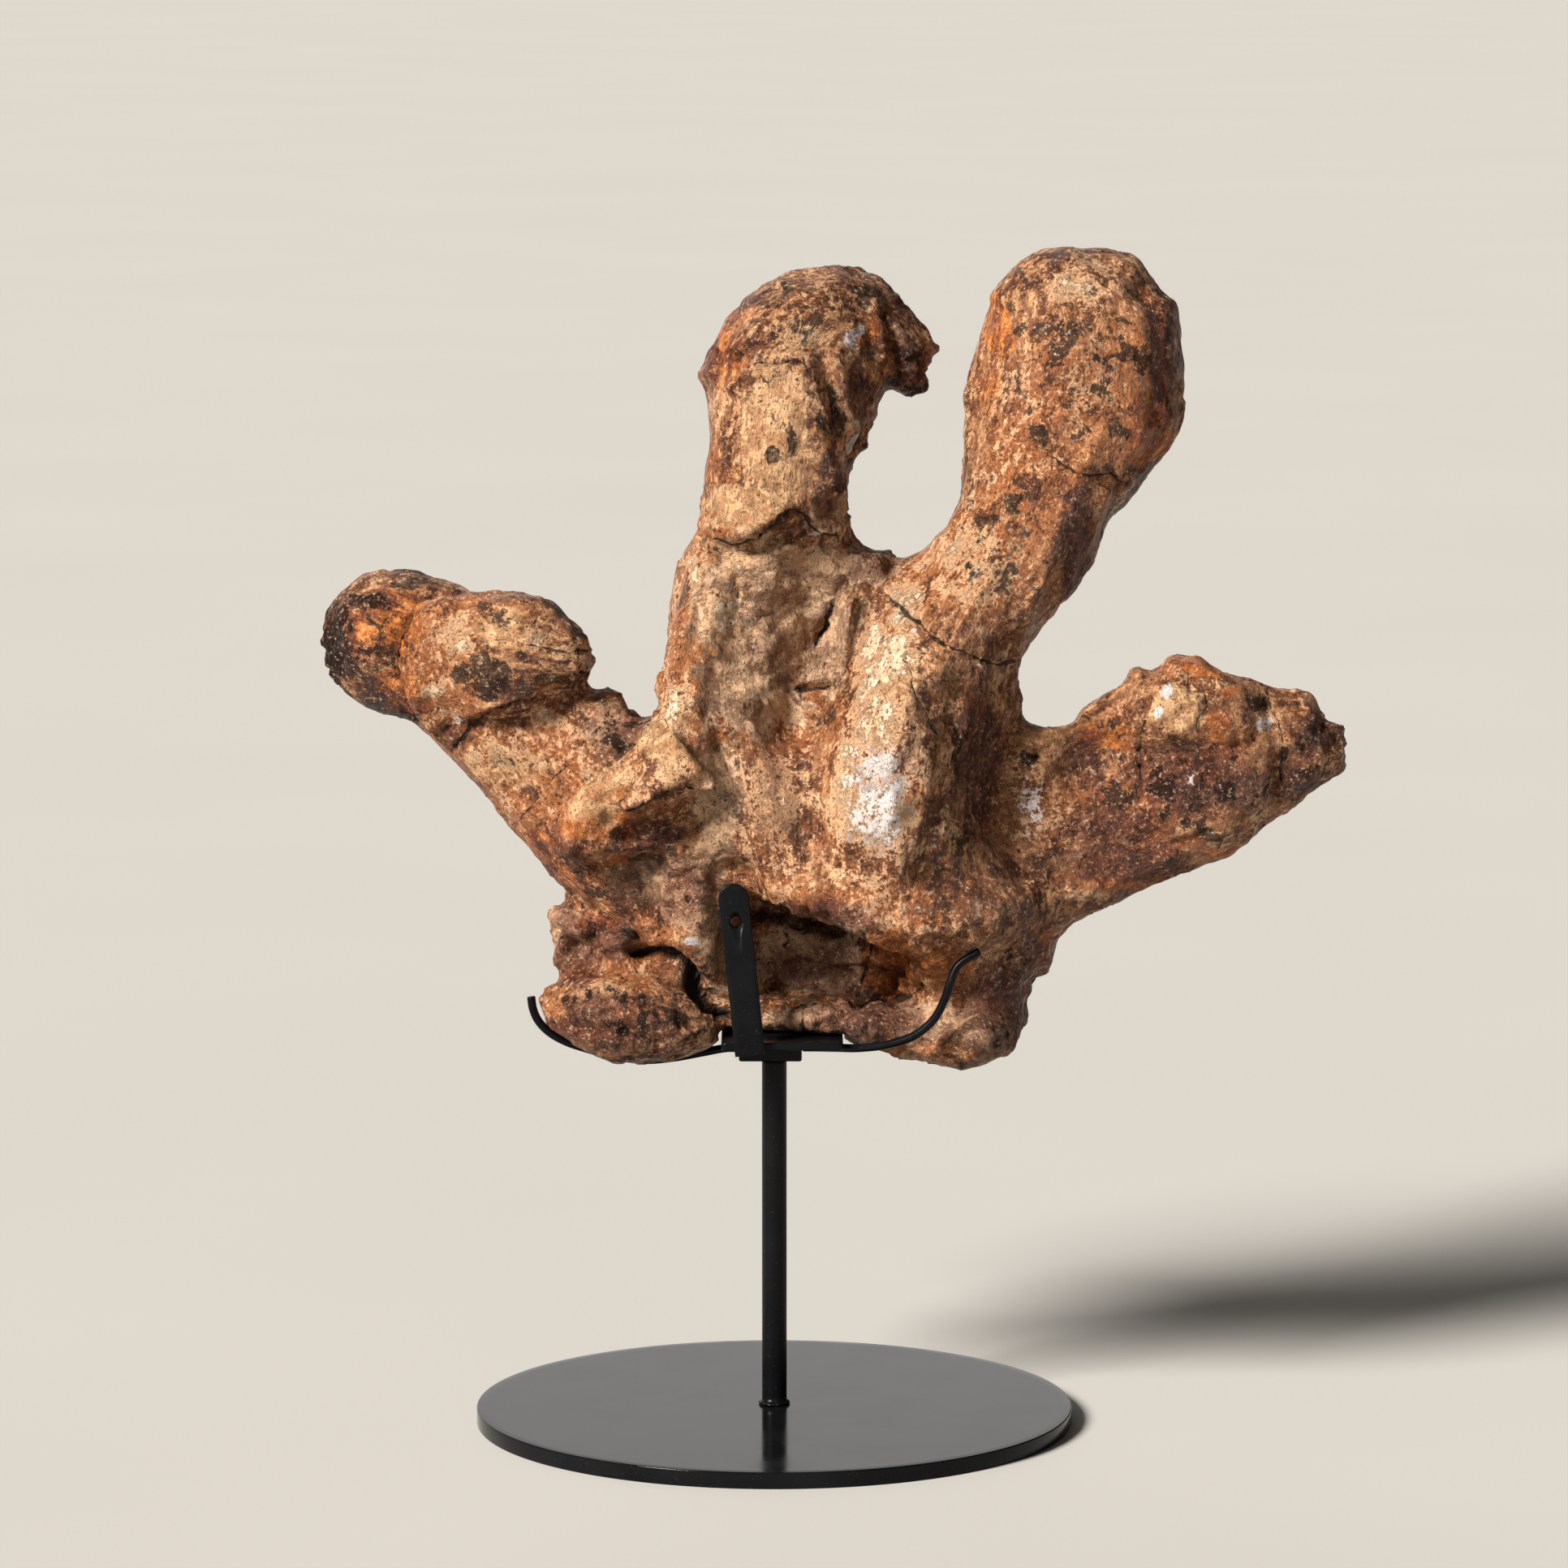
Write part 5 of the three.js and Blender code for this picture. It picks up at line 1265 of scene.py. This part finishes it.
def make_front_strap():
    """Flat bar with a square foot, a round head and one hole. Rings run from the hole out over the
    front face, round the edge and back over the rear face to the hole."""
    foot, head = np.array(STRAP_FOOT), np.array(STRAP_HEAD)
    length = np.linalg.norm(head - foot)
    up = (head - foot) / length
    right = np.array((up[1], -up[0]))
    half = STRAP_WIDTH / 2
    hole = length - STRAP_HOLE_FROM_TOP
    angle = np.linspace(0, math.pi, 33)
    arc = np.stack((half * np.cos(angle), length - half + half * np.sin(angle)), 1)
    side = np.linspace(0, 1, 16)[:-1, None]
    right_side = (half, 0) + side * (0, length - half)
    left_side = (-half, length - half) + side * (0, half - length)
    foot_side = (-half, 0) + np.linspace(0, 1, 7)[:-1, None] * (2 * half, 0)
    outline = np.vstack((right_side, arc[:-1], left_side, foot_side))
    from_hole = outline - (0, hole)
    bearing = np.arctan2(from_hole[:, 1], from_hole[:, 0])
    circle = np.stack((np.cos(bearing), np.sin(bearing)), 1) * STRAP_HOLE_RADIUS + (0, hole)
    towards_hole = (circle - outline) / np.linalg.norm(circle - outline, axis=1)[:, None]
    bevel = STRAP_BEVEL
    rings = []

    def ring(share, inset, depth):
        """Add a ring that share of the way from the hole to the outline, moved towards the hole by
        the inset, that far in front of the strap's back."""
        flat = circle + (outline - circle) * share + towards_hole * inset
        place = foot + flat[:, :1] * right + flat[:, 1:] * up
        rings.append(np.column_stack((place[:, 0], np.full(len(place), STRAP_BACK - depth), place[:, 1])))

    rounds = np.linspace(0, math.pi / 2, 4)
    front = STRAP_THICKNESS
    for a in rounds:
        ring(0, -bevel * (1 - math.sin(a)), front - bevel + bevel * math.sin(a))
    for share in (.25, .6):
        ring(share, 0, front)
    for a in rounds:
        ring(1, bevel * (1 - math.sin(a)), front - bevel + bevel * math.cos(a))
    for a in rounds:
        ring(1, bevel * (1 - math.cos(a)), bevel - bevel * math.sin(a))
    for share in (.6, .25):
        ring(share, 0, 0)
    for a in rounds[::-1]:
        ring(0, -bevel * (1 - math.sin(a)), bevel - bevel * math.sin(a))
    return grid_mesh("front_strap", np.array(rings)[::-1], closed_rows=True)


def make_arm(name, route):
    """Round rod: a circle carried along the route, square to it, with a small bevel at each sawn end."""
    line = bent_rod(route, 12)
    ahead = np.gradient(line, axis=0)
    ahead /= np.linalg.norm(ahead, axis=1)[:, None]
    side = np.cross(ahead, (0, 1, 0))
    side /= np.linalg.norm(side, axis=1)[:, None]
    over = np.cross(ahead, side)
    angle = np.arange(28) * 2 * math.pi / 28
    circle = np.cos(angle)[None, :, None] * side[:, None, :] + np.sin(angle)[None, :, None] * over[:, None, :]
    face_shares = (.3, 1 - ROD_BEVEL / ROD_RADIUS)
    rows = [line[0] + (ROD_RADIUS * share) * circle[0] for share in face_shares]
    rows += [line[0] + ROD_BEVEL * ahead[0] + ROD_RADIUS * circle[0]]
    rows += list(line[1:-1, None, :] + ROD_RADIUS * circle[1:-1])
    rows += [line[-1] - ROD_BEVEL * ahead[-1] + ROD_RADIUS * circle[-1]]
    rows += [line[-1] + (ROD_RADIUS * share) * circle[-1] for share in face_shares[::-1]]
    return grid_mesh(name, np.array(rows))


# Materials


def srgb(red, green, blue):
    """Colour from 0 to 255 as seen on a screen, as the linear colour that a shader takes."""
    shares = [v / 255 for v in (red, green, blue)]
    return tuple(v / 12.92 if v <= .04045 else ((v + .055) / 1.055)**2.4 for v in shares) + (1.0,)


class Finish:
    """A material built node by node. Each method adds a node and gives back its output."""

    def __init__(self, name):
        self.material = bpy.data.materials.new(name)
        self.material.use_nodes = True
        self.tree = self.material.node_tree
        self.tree.nodes.clear()
        self.shader = self.tree.nodes.new("ShaderNodeBsdfPrincipled")
        output = self.tree.nodes.new("ShaderNodeOutputMaterial")
        self.tree.links.new(self.shader.outputs["BSDF"], output.inputs["Surface"])

    def put(self, socket, value):
        """Link an output to the socket, or set a constant on it."""
        if isinstance(value, bpy.types.NodeSocket):
            self.tree.links.new(value, socket)
        elif value is not None:
            socket.default_value = value

    def object_place(self):
        return self.tree.nodes.new("ShaderNodeTexCoord").outputs["Object"]

    def attribute(self, name, vector=False):
        node = self.tree.nodes.new("ShaderNodeAttribute")
        node.attribute_name = name
        return node.outputs["Vector" if vector else "Fac"]

    def stretched(self, place, scale):
        node = self.tree.nodes.new("ShaderNodeMapping")
        self.put(node.inputs["Vector"], place)
        node.inputs["Scale"].default_value = scale
        return node.outputs["Vector"]

    def cloud(self, place, size, detail, roughness, distortion=0.0):
        """Noise whose lumps are about that many metres wide, from 0 to 1."""
        node = self.tree.nodes.new("ShaderNodeTexNoise")
        self.put(node.inputs["Vector"], place)
        node.inputs["Scale"].default_value = 1 / size
        node.inputs["Detail"].default_value = detail
        node.inputs["Roughness"].default_value = roughness
        node.inputs["Distortion"].default_value = distortion
        return node.outputs["Fac"]

    def grains(self, place, size):
        """Distance to the nearest of points scattered that many metres apart."""
        node = self.tree.nodes.new("ShaderNodeTexVoronoi")
        self.put(node.inputs["Vector"], place)
        node.inputs["Scale"].default_value = 1 / size
        return node.outputs["Distance"]

    def vector(self, operation, first, second, output="Vector"):
        node = self.tree.nodes.new("ShaderNodeVectorMath")
        node.operation = operation
        self.put(node.inputs[0], first)
        self.put(node.inputs[1], second)
        return node.outputs[output]

    def scaled(self, value, factor):
        node = self.tree.nodes.new("ShaderNodeVectorMath")
        node.operation = "SCALE"
        self.put(node.inputs[0], value)
        node.inputs["Scale"].default_value = factor
        return node.outputs["Vector"]

    def broken_planes(self, place, size):
        """Flat tilted planes with crisp edges, each about that many metres wide, in heights round 0."""
        shake = self.tree.nodes.new("ShaderNodeTexNoise")
        self.put(shake.inputs["Vector"], place)
        shake.inputs["Scale"].default_value = 2.2 / size
        shake.inputs["Detail"].default_value = 4
        bent = self.vector("ADD", place, self.scaled(shake.outputs["Color"], .5 * size))
        cells = self.tree.nodes.new("ShaderNodeTexVoronoi")
        self.put(cells.inputs["Vector"], bent)
        cells.inputs["Scale"].default_value = 1 / size
        tilt = self.vector("SUBTRACT", cells.outputs["Color"], (.5, .5, .5))
        offset = self.vector("SUBTRACT", bent, cells.outputs["Position"])
        slope = self.vector("DOT_PRODUCT", tilt, offset, "Value")
        return self.calc("MULTIPLY", slope, 1 / size)

    def calc(self, operation, first, second=None, third=None, clamp=False):
        node = self.tree.nodes.new("ShaderNodeMath")
        node.operation = operation
        node.use_clamp = clamp
        for socket, value in zip(node.inputs, (first, second, third)):
            self.put(socket, value)
        return node.outputs[0]

    def summed(self, *parts):
        """Sum of (weight, value) parts."""
        total = None
        for weight, value in parts:
            part = self.calc("MULTIPLY", value, weight)
            total = part if total is None else self.calc("ADD", total, part)
        return total

    def step(self, value, low, high, start=0.0, end=1.0):
        """start below low, end above high, and a smooth change between."""
        node = self.tree.nodes.new("ShaderNodeMapRange")
        node.interpolation_type = "SMOOTHSTEP"
        for name, number in (("Value", value), ("From Min", low), ("From Max", high),
                             ("To Min", start), ("To Max", end)):
            self.put(node.inputs[name], number)
        return node.outputs[0]

    def tint(self, factor, first, second, blend="MIX"):
        """Second colour laid on the first by that factor."""
        node = self.tree.nodes.new("ShaderNodeMix")
        node.data_type = "RGBA"
        node.blend_type = blend
        node.clamp_factor = True
        self.put(node.inputs[0], factor)
        self.put(node.inputs[6], first)
        self.put(node.inputs[7], second)
        return node.outputs[2]

    def bump(self, height, depth, below=None):
        """Fine relief: a height from 0 to 1 that stands for that many metres."""
        node = self.tree.nodes.new("ShaderNodeBump")
        node.inputs["Distance"].default_value = depth
        self.put(node.inputs["Height"], height)
        self.put(node.inputs["Normal"], below)
        return node.outputs["Normal"]

    def set(self, **sockets):
        """Set the shader's sockets, by their names with _ for a space."""
        for name, value in sockets.items():
            self.put(self.shader.inputs[name.replace("_", " ")], value)


def tone(name):
    """One of the fossil's colours, as a shader takes it."""
    return srgb(*TONES[name])


class FossilFinish(Finish):
    """Finish of the bone. It keeps the fields and the shares of what is laid on the bone by name, and
    the colour as laid so far."""

    def __init__(self, name):
        super().__init__(name)
        self.place = self.object_place()
        self.field = {spot: self.attribute(spot) for spot in (
            "charcoal", "rust", "cream", "tan", "umber", "matrix", "gloss", "glue", "hollow", "ridge")}
        self.add_fibres()
        place = self.place
        self.field["broad"] = self.cloud(place, 60 * MM, 3, .5)
        self.field["patch"] = self.cloud(place, 22 * MM, 10, .66, .4)
        self.field["stain"] = self.cloud(self.stretched(place, (1, 1, .8)), 17 * MM, 10, .7, .8)
        self.field["fleck"] = self.cloud(place, 6.2 * MM, 8, .7, .3)
        self.field["dust"] = self.cloud(place, 1.9 * MM, 4, .8)
        self.share = {}
        self.colour = None

    def add_fibres(self):
        """Streaks and finer dashes that run along the grain of each limb."""
        streaks = []
        dashes = []
        for name in ("body", *GRAINS):
            grain = self.attribute("grain_" + name, vector=True)
            share = self.attribute("share_" + name)
            strong = FIBRES[name]
            for kind, across, detail in ((streaks, 2.8 * MM, 6), (dashes, 1.0 * MM, 3)):
                cloud = self.cloud(self.stretched(grain, (.2, 1, 1)), across, detail, .7, .3)
                kind.append((share, self.calc("MULTIPLY_ADD", cloud, strong, (1 - strong) / 2)))
        self.field["streak"] = self.summed(*streaks)
        self.field["dash"] = self.summed(*dashes)

    def mixed(self, **weights):
        """Sum of the named fields, each times its weight."""
        return self.summed(*((weight, self.field[name]) for name, weight in weights.items()))

    def two_tone(self, name, low, high, first, second):
        """One tone where the named field is below low, another where it is above high."""
        return self.tint(self.step(self.field[name], low, high), tone(first), tone(second))

    def lay(self, share, colour, blend="MIX"):
        """Lay a colour on what has been laid so far."""
        self.colour = self.tint(share, self.colour, colour, blend)


def lay_bone(f):
    """Tan and brown fibres, paler and darker clouds, rust, smooth tan skin and rock."""
    f.share["rock"] = f.step(f.mixed(matrix=.32, rust=-.3, patch=.5, fleck=.5), .58, .66)
    f.share["bony"] = f.calc("SUBTRACT", 1, f.calc("MULTIPLY", f.share["rock"], .85))
    tans = f.two_tone("streak", .43, .58, "tan", "tan_light")
    browns = f.two_tone("streak", .42, .6, "brown", "brown_light")
    base_field = f.mixed(patch=.5, streak=.16, fleck=.2, dust=.14)
    f.colour = f.tint(f.step(base_field, .485, .515), browns, tans)
    f.lay(f.step(f.field["broad"], .46, .6, 0, .7), tone("ochre"))
    pale_field = f.mixed(stain=.4, streak=.18, fleck=.22, dust=.2)
    f.lay(f.step(pale_field, .515, .54, 0, .7), tone("pale"))
    dark_field = f.mixed(stain=.4, patch=.25, streak=.15, dust=.2)
    f.lay(f.step(dark_field, .47, .45, 0, .85), tone("dark"))
    rust_share = f.step(f.mixed(rust=.26, stain=.5, fleck=.4, dust=.1), .60, .66, 0, .85)
    f.lay(rust_share, f.two_tone("streak", .42, .6, "rust", "rust_light"))
    tan_share = f.step(f.mixed(tan=.26, patch=.4, streak=.3, fleck=.3), .60, .68, 0, .85)
    f.lay(tan_share, f.two_tone("fleck", .40, .60, "smooth_tan", "smooth_tan_light"))
    rock = f.two_tone("patch", .42, .58, "rock", "rock_light")
    rock = f.tint(f.step(f.field["fleck"], .42, .58, 0, .5), rock, tone("rock_crumbs"))
    rock = f.tint(f.step(f.field["stain"], .46, .43, 0, .6), rock, tone("rock_stain"))
    f.lay(f.share["rock"], rock)


def lay_stains(f):
    """Cream wear, dark gaps between the fibres, charcoal stains, and umber as brown stains and as painted
    shade.
    """
    cream_field = f.mixed(cream=.24, ridge=.1, streak=.2, patch=.15, fleck=.35, dust=.3)
    f.lay(f.step(cream_field, .62, .66, 0, .8), tone("cream_wash"))
    f.share["cream"] = f.step(cream_field, .69, .73, 0, .85)
    f.lay(f.share["cream"], f.two_tone("streak", .42, .56, "cream", "cream_light"))
    f.share["gaps"] = f.calc("MULTIPLY", f.step(f.field["dash"], .45, .36, 0, .7), f.share["bony"])
    f.lay(f.share["gaps"], tone("fibre_gaps"))
    char_field = f.mixed(charcoal=.27, stain=.8, fleck=.7, dust=.1)
    f.share["charcoal"] = f.step(char_field, .925, .96, 0, .9)
    f.lay(f.share["charcoal"], f.two_tone("fleck", .42, .58, "charcoal", "charcoal_light"))
    # Umber darkens by multiplying: brown stains, and painted shade where its marks stand for shade
    umber_field = f.mixed(umber=.3, broad=.5, fleck=.5)
    f.lay(f.step(umber_field, .58, .74, 0, .85), tone("umber"), "MULTIPLY")


def lay_hollow_shade_and_dust(f):
    """Painted shade in the hollows, pores, dark and pale dust, white glue with a painted sheen, specks, and
    the cracks.
    """
    fleck, dust = f.field["fleck"], f.field["dust"]
    # Painted shade: the hollows darkened as ambient occlusion would darken them, more on bone than on rock
    hollow_share = f.step(f.field["hollow"], .38, .9)
    hollow_shade = f.calc("MULTIPLY", hollow_share, f.step(fleck, .66, .36, .45, 1), clamp=True)
    hollow_shade = f.calc("MULTIPLY", hollow_shade, f.step(f.share["rock"], 0, 1, .62, .32))
    f.lay(hollow_shade, tone("hollow_shade"))
    f.share["pores"] = f.step(f.grains(f.place, 1.9 * MM), .24, .12)
    f.lay(f.calc("MULTIPLY", f.share["pores"], .4), tone("pores"))
    f.lay(f.step(dust, .45, .37, 0, .66), tone("dust"))
    f.lay(f.step(dust, .56, .64, 0, .4), tone("dust_light"))

    # White glue, and a painted sheen on the ridge belly where the glue marks paint it
    glue_film_and_sheen = f.step(f.mixed(glue=.35, streak=.1, fleck=.35, dust=.45), .66, .72)
    speck_size = f.step(f.grains(f.place, 5.0 * MM), .15, .07)
    specks = f.calc("MULTIPLY", speck_size, f.step(f.field["stain"], .52, .62), clamp=True)
    f.share["white"] = f.calc("MAXIMUM", glue_film_and_sheen, f.calc("MULTIPLY", specks, .7))
    f.lay(f.calc("MULTIPLY", f.share["white"], .85), tone("glue"))

    line = f.calc("ABSOLUTE", f.attribute("crack"))
    f.share["crack"] = f.calc("MULTIPLY", f.step(line, 1.3, .5), f.attribute("crack_here"))
    f.lay(f.calc("MULTIPLY", f.share["crack"], .9), tone("crack"))


def fossil_roughness(f):
    """Satin coat of hardener, shinier on gloss, glue and the painted sheen, duller on rock, charcoal and
    cracks.
    """
    shine = f.calc("MULTIPLY", f.field["gloss"], f.step(f.field["fleck"], .38, .55, .5, 1))
    rough = f.calc("SUBTRACT", f.step(f.field["patch"], .4, .6, .32, .46), f.calc("MULTIPLY", shine, .16))
    rough = f.calc("ADD", rough, f.calc("MULTIPLY", f.share["rock"], .12))
    rough = f.calc("SUBTRACT", rough, f.calc("MULTIPLY", f.share["white"], .15))
    rough = f.calc("ADD", rough, f.calc("MULTIPLY", f.share["charcoal"], .12))
    return f.calc("ADD", rough, f.calc("MULTIPLY", f.share["crack"], .3), clamp=True)


def fossil_normal(f):
    """Fine relief: fibres, flecks and dust, broken planes on the rock, and what is laid or worn."""
    streak, fleck = f.field["streak"], f.field["fleck"]
    worn = f.step(fleck, .46, .53)
    peeled = f.step(streak, .47, .53)
    normal = f.bump(f.summed((.7, streak), (.07, peeled)), 2.0 * MM)
    normal = f.bump(f.summed((.7, fleck), (.07, worn)), 2.6 * MM, normal)
    normal = f.bump(f.mixed(dust=.6, dash=.5), 2.0 * MM, normal)
    planes = f.broken_planes(f.place, 9 * MM)
    facets = f.calc("MULTIPLY", planes, f.step(f.share["rock"], .2, .8, .25, 1))
    normal = f.bump(f.calc("ADD", facets, .5), 8 * MM, normal)
    heights = {"cream": .5, "charcoal": -.35, "pores": -.6, "crack": -1.0, "gaps": -.3}
    raised = f.summed(*((height, f.share[name]) for name, height in heights.items()))
    return f.bump(raised, .6 * MM, normal)


def fossil_finish():
    """Fossil bone: tan and brown fibres, cream wear, rust, charcoal and umber stains, grey-brown rock in the
    hollows, dark cracks, flecks of glue, a thin coat of hardener, and painted shade and a painted sheen."""
    f = FossilFinish("fossil_bone")
    lay_bone(f)
    lay_stains(f)
    lay_hollow_shade_and_dust(f)
    rough = fossil_roughness(f)
    normal = fossil_normal(f)
    shiny = f.step(f.share["charcoal"], 0, 1, .42, .16)
    f.set(Base_Color=f.colour, Roughness=rough, Normal=normal, Specular_IOR_Level=shiny, IOR=1.5)
    return f.material


def steel_finish(name, coat, roughness, grain, depth):
    """Black coat on steel: a fine orange-peel, faint dust and small changes of shine."""
    f = Finish(name)
    place = f.object_place()
    peel = f.cloud(place, grain, 2, .5)
    smudge = f.cloud(place, 30 * MM, 4, .6)
    dust = f.step(f.cloud(place, .9 * MM, 2, .6), .66, .76, 0, .12)
    colour = f.tint(f.step(smudge, .35, .7), srgb(*coat), srgb(*(v + 6 for v in coat)))
    colour = f.tint(dust, colour, srgb(120, 116, 112))
    rough = f.step(smudge, .3, .7, roughness, roughness + .1)
    f.set(Base_Color=colour, Roughness=rough, Normal=f.bump(peel, depth), Specular_IOR_Level=.12)
    return f.material


def floor_finish():
    """Plain pale floor, matt, with a barely seen change of tone."""
    f = Finish("pale_floor")
    place = f.object_place()
    colour = f.tint(f.cloud(place, .4, 3, .5), srgb(176, 173, 168), srgb(181, 178, 173))
    f.set(Base_Color=colour, Roughness=.9, Specular_IOR_Level=.05)
    return f.material


# Scene


def add_piece(name, mesh, material, slot, *nodes):
    """Object at the origin that rides on the only body and stands for its node."""
    piece = bpy.data.objects.new(name, mesh)
    bpy.context.scene.collection.objects.link(piece)
    mesh.materials.append(material)
    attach(piece, "root")
    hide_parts(*nodes)


def add_camera():
    """Camera at the place from which the photograph was taken."""
    data = bpy.data.cameras.new("camera")
    data.lens = LENS
    data.sensor_width = SENSOR
    data.clip_end = 200
    camera = bpy.data.objects.new("camera", data)
    camera.location = CAMERA_PLACE
    camera.rotation_euler = (math.pi / 2 - CAMERA_PITCH, 0, 0)
    bpy.context.scene.collection.objects.link(camera)
    bpy.context.scene.camera = camera


def add_sun(name, towards, angle, strength, colour):
    """Broad far light that shines along that direction, as wide in the sky as the angle."""
    data = bpy.data.lights.new(name, "SUN")
    data.angle = math.radians(angle)
    data.energy = strength
    data.color = colour
    sun = bpy.data.objects.new(name, data)
    sun.rotation_euler = Vector(towards).to_track_quat("-Z", "Y").to_euler()
    bpy.context.scene.collection.objects.link(sun)


def add_floor():
    """Level floor at the height of the base's underside."""
    reach = 40
    mesh = bpy.data.meshes.new("floor")
    mesh.from_pydata(
        [(-reach, -reach, 0), (reach, -reach, 0), (reach, reach, 0), (-reach, reach, 0)], [], [(0, 1, 2, 3)])
    mesh.materials.append(floor_finish())
    floor = bpy.data.objects.new("floor", mesh)
    bpy.context.scene.collection.objects.link(floor)


def add_world():
    """Even, faint light from all round."""
    world = bpy.data.worlds.new("studio")
    world.use_nodes = True
    background = world.node_tree.nodes["Background"]
    background.inputs["Color"].default_value = SKY_COLOUR
    background.inputs["Strength"].default_value = SKY_STRENGTH
    bpy.context.scene.world = world


add_camera()
add_world()
add_floor()
for sun_name, sun in SUNS.items():
    add_sun(sun_name, *sun)

gloss_steel = steel_finish(
    "gloss_black_steel", coat=(9, 9, 11), roughness=.08, grain=20 * MM, depth=.02 * MM)
satin_steel = steel_finish(
    "satin_black_steel", coat=(7, 7, 9), roughness=.26, grain=.9 * MM, depth=.05 * MM)
add_piece("vertebra_bone", make_bone(), fossil_finish(), "fossil_bone", "vertebra")
add_piece("base_disc_plate", make_base_disc(), gloss_steel, "gloss_black_steel", "base_disc")
add_piece("post_bar", make_post(), satin_steel, "satin_black_steel", "post")
add_piece("cradle_hub_block", make_slab("cradle_hub", HUB_LOW, HUB_HIGH, 1.5 * MM, BLOCK_BEVEL),
          satin_steel, "satin_black_steel", "cradle_hub")
add_piece("rest_plate_bar", make_slab("rest_plate", PLATE_LOW, PLATE_HIGH, 2 * MM, BLOCK_BEVEL),
          satin_steel, "satin_black_steel", "rest_plate")
add_piece("front_strap_bar", make_front_strap(), satin_steel, "satin_black_steel", "front_strap")
add_piece("left_arm_rod", make_arm("left_arm", LEFT_ARM_ROUTE),
          satin_steel, "satin_black_steel", "left_arm")
add_piece("right_arm_rod", make_arm("right_arm", RIGHT_ARM_ROUTE),
          satin_steel, "satin_black_steel", "right_arm")
bpy.context.scene.view_settings.view_transform = "Standard"
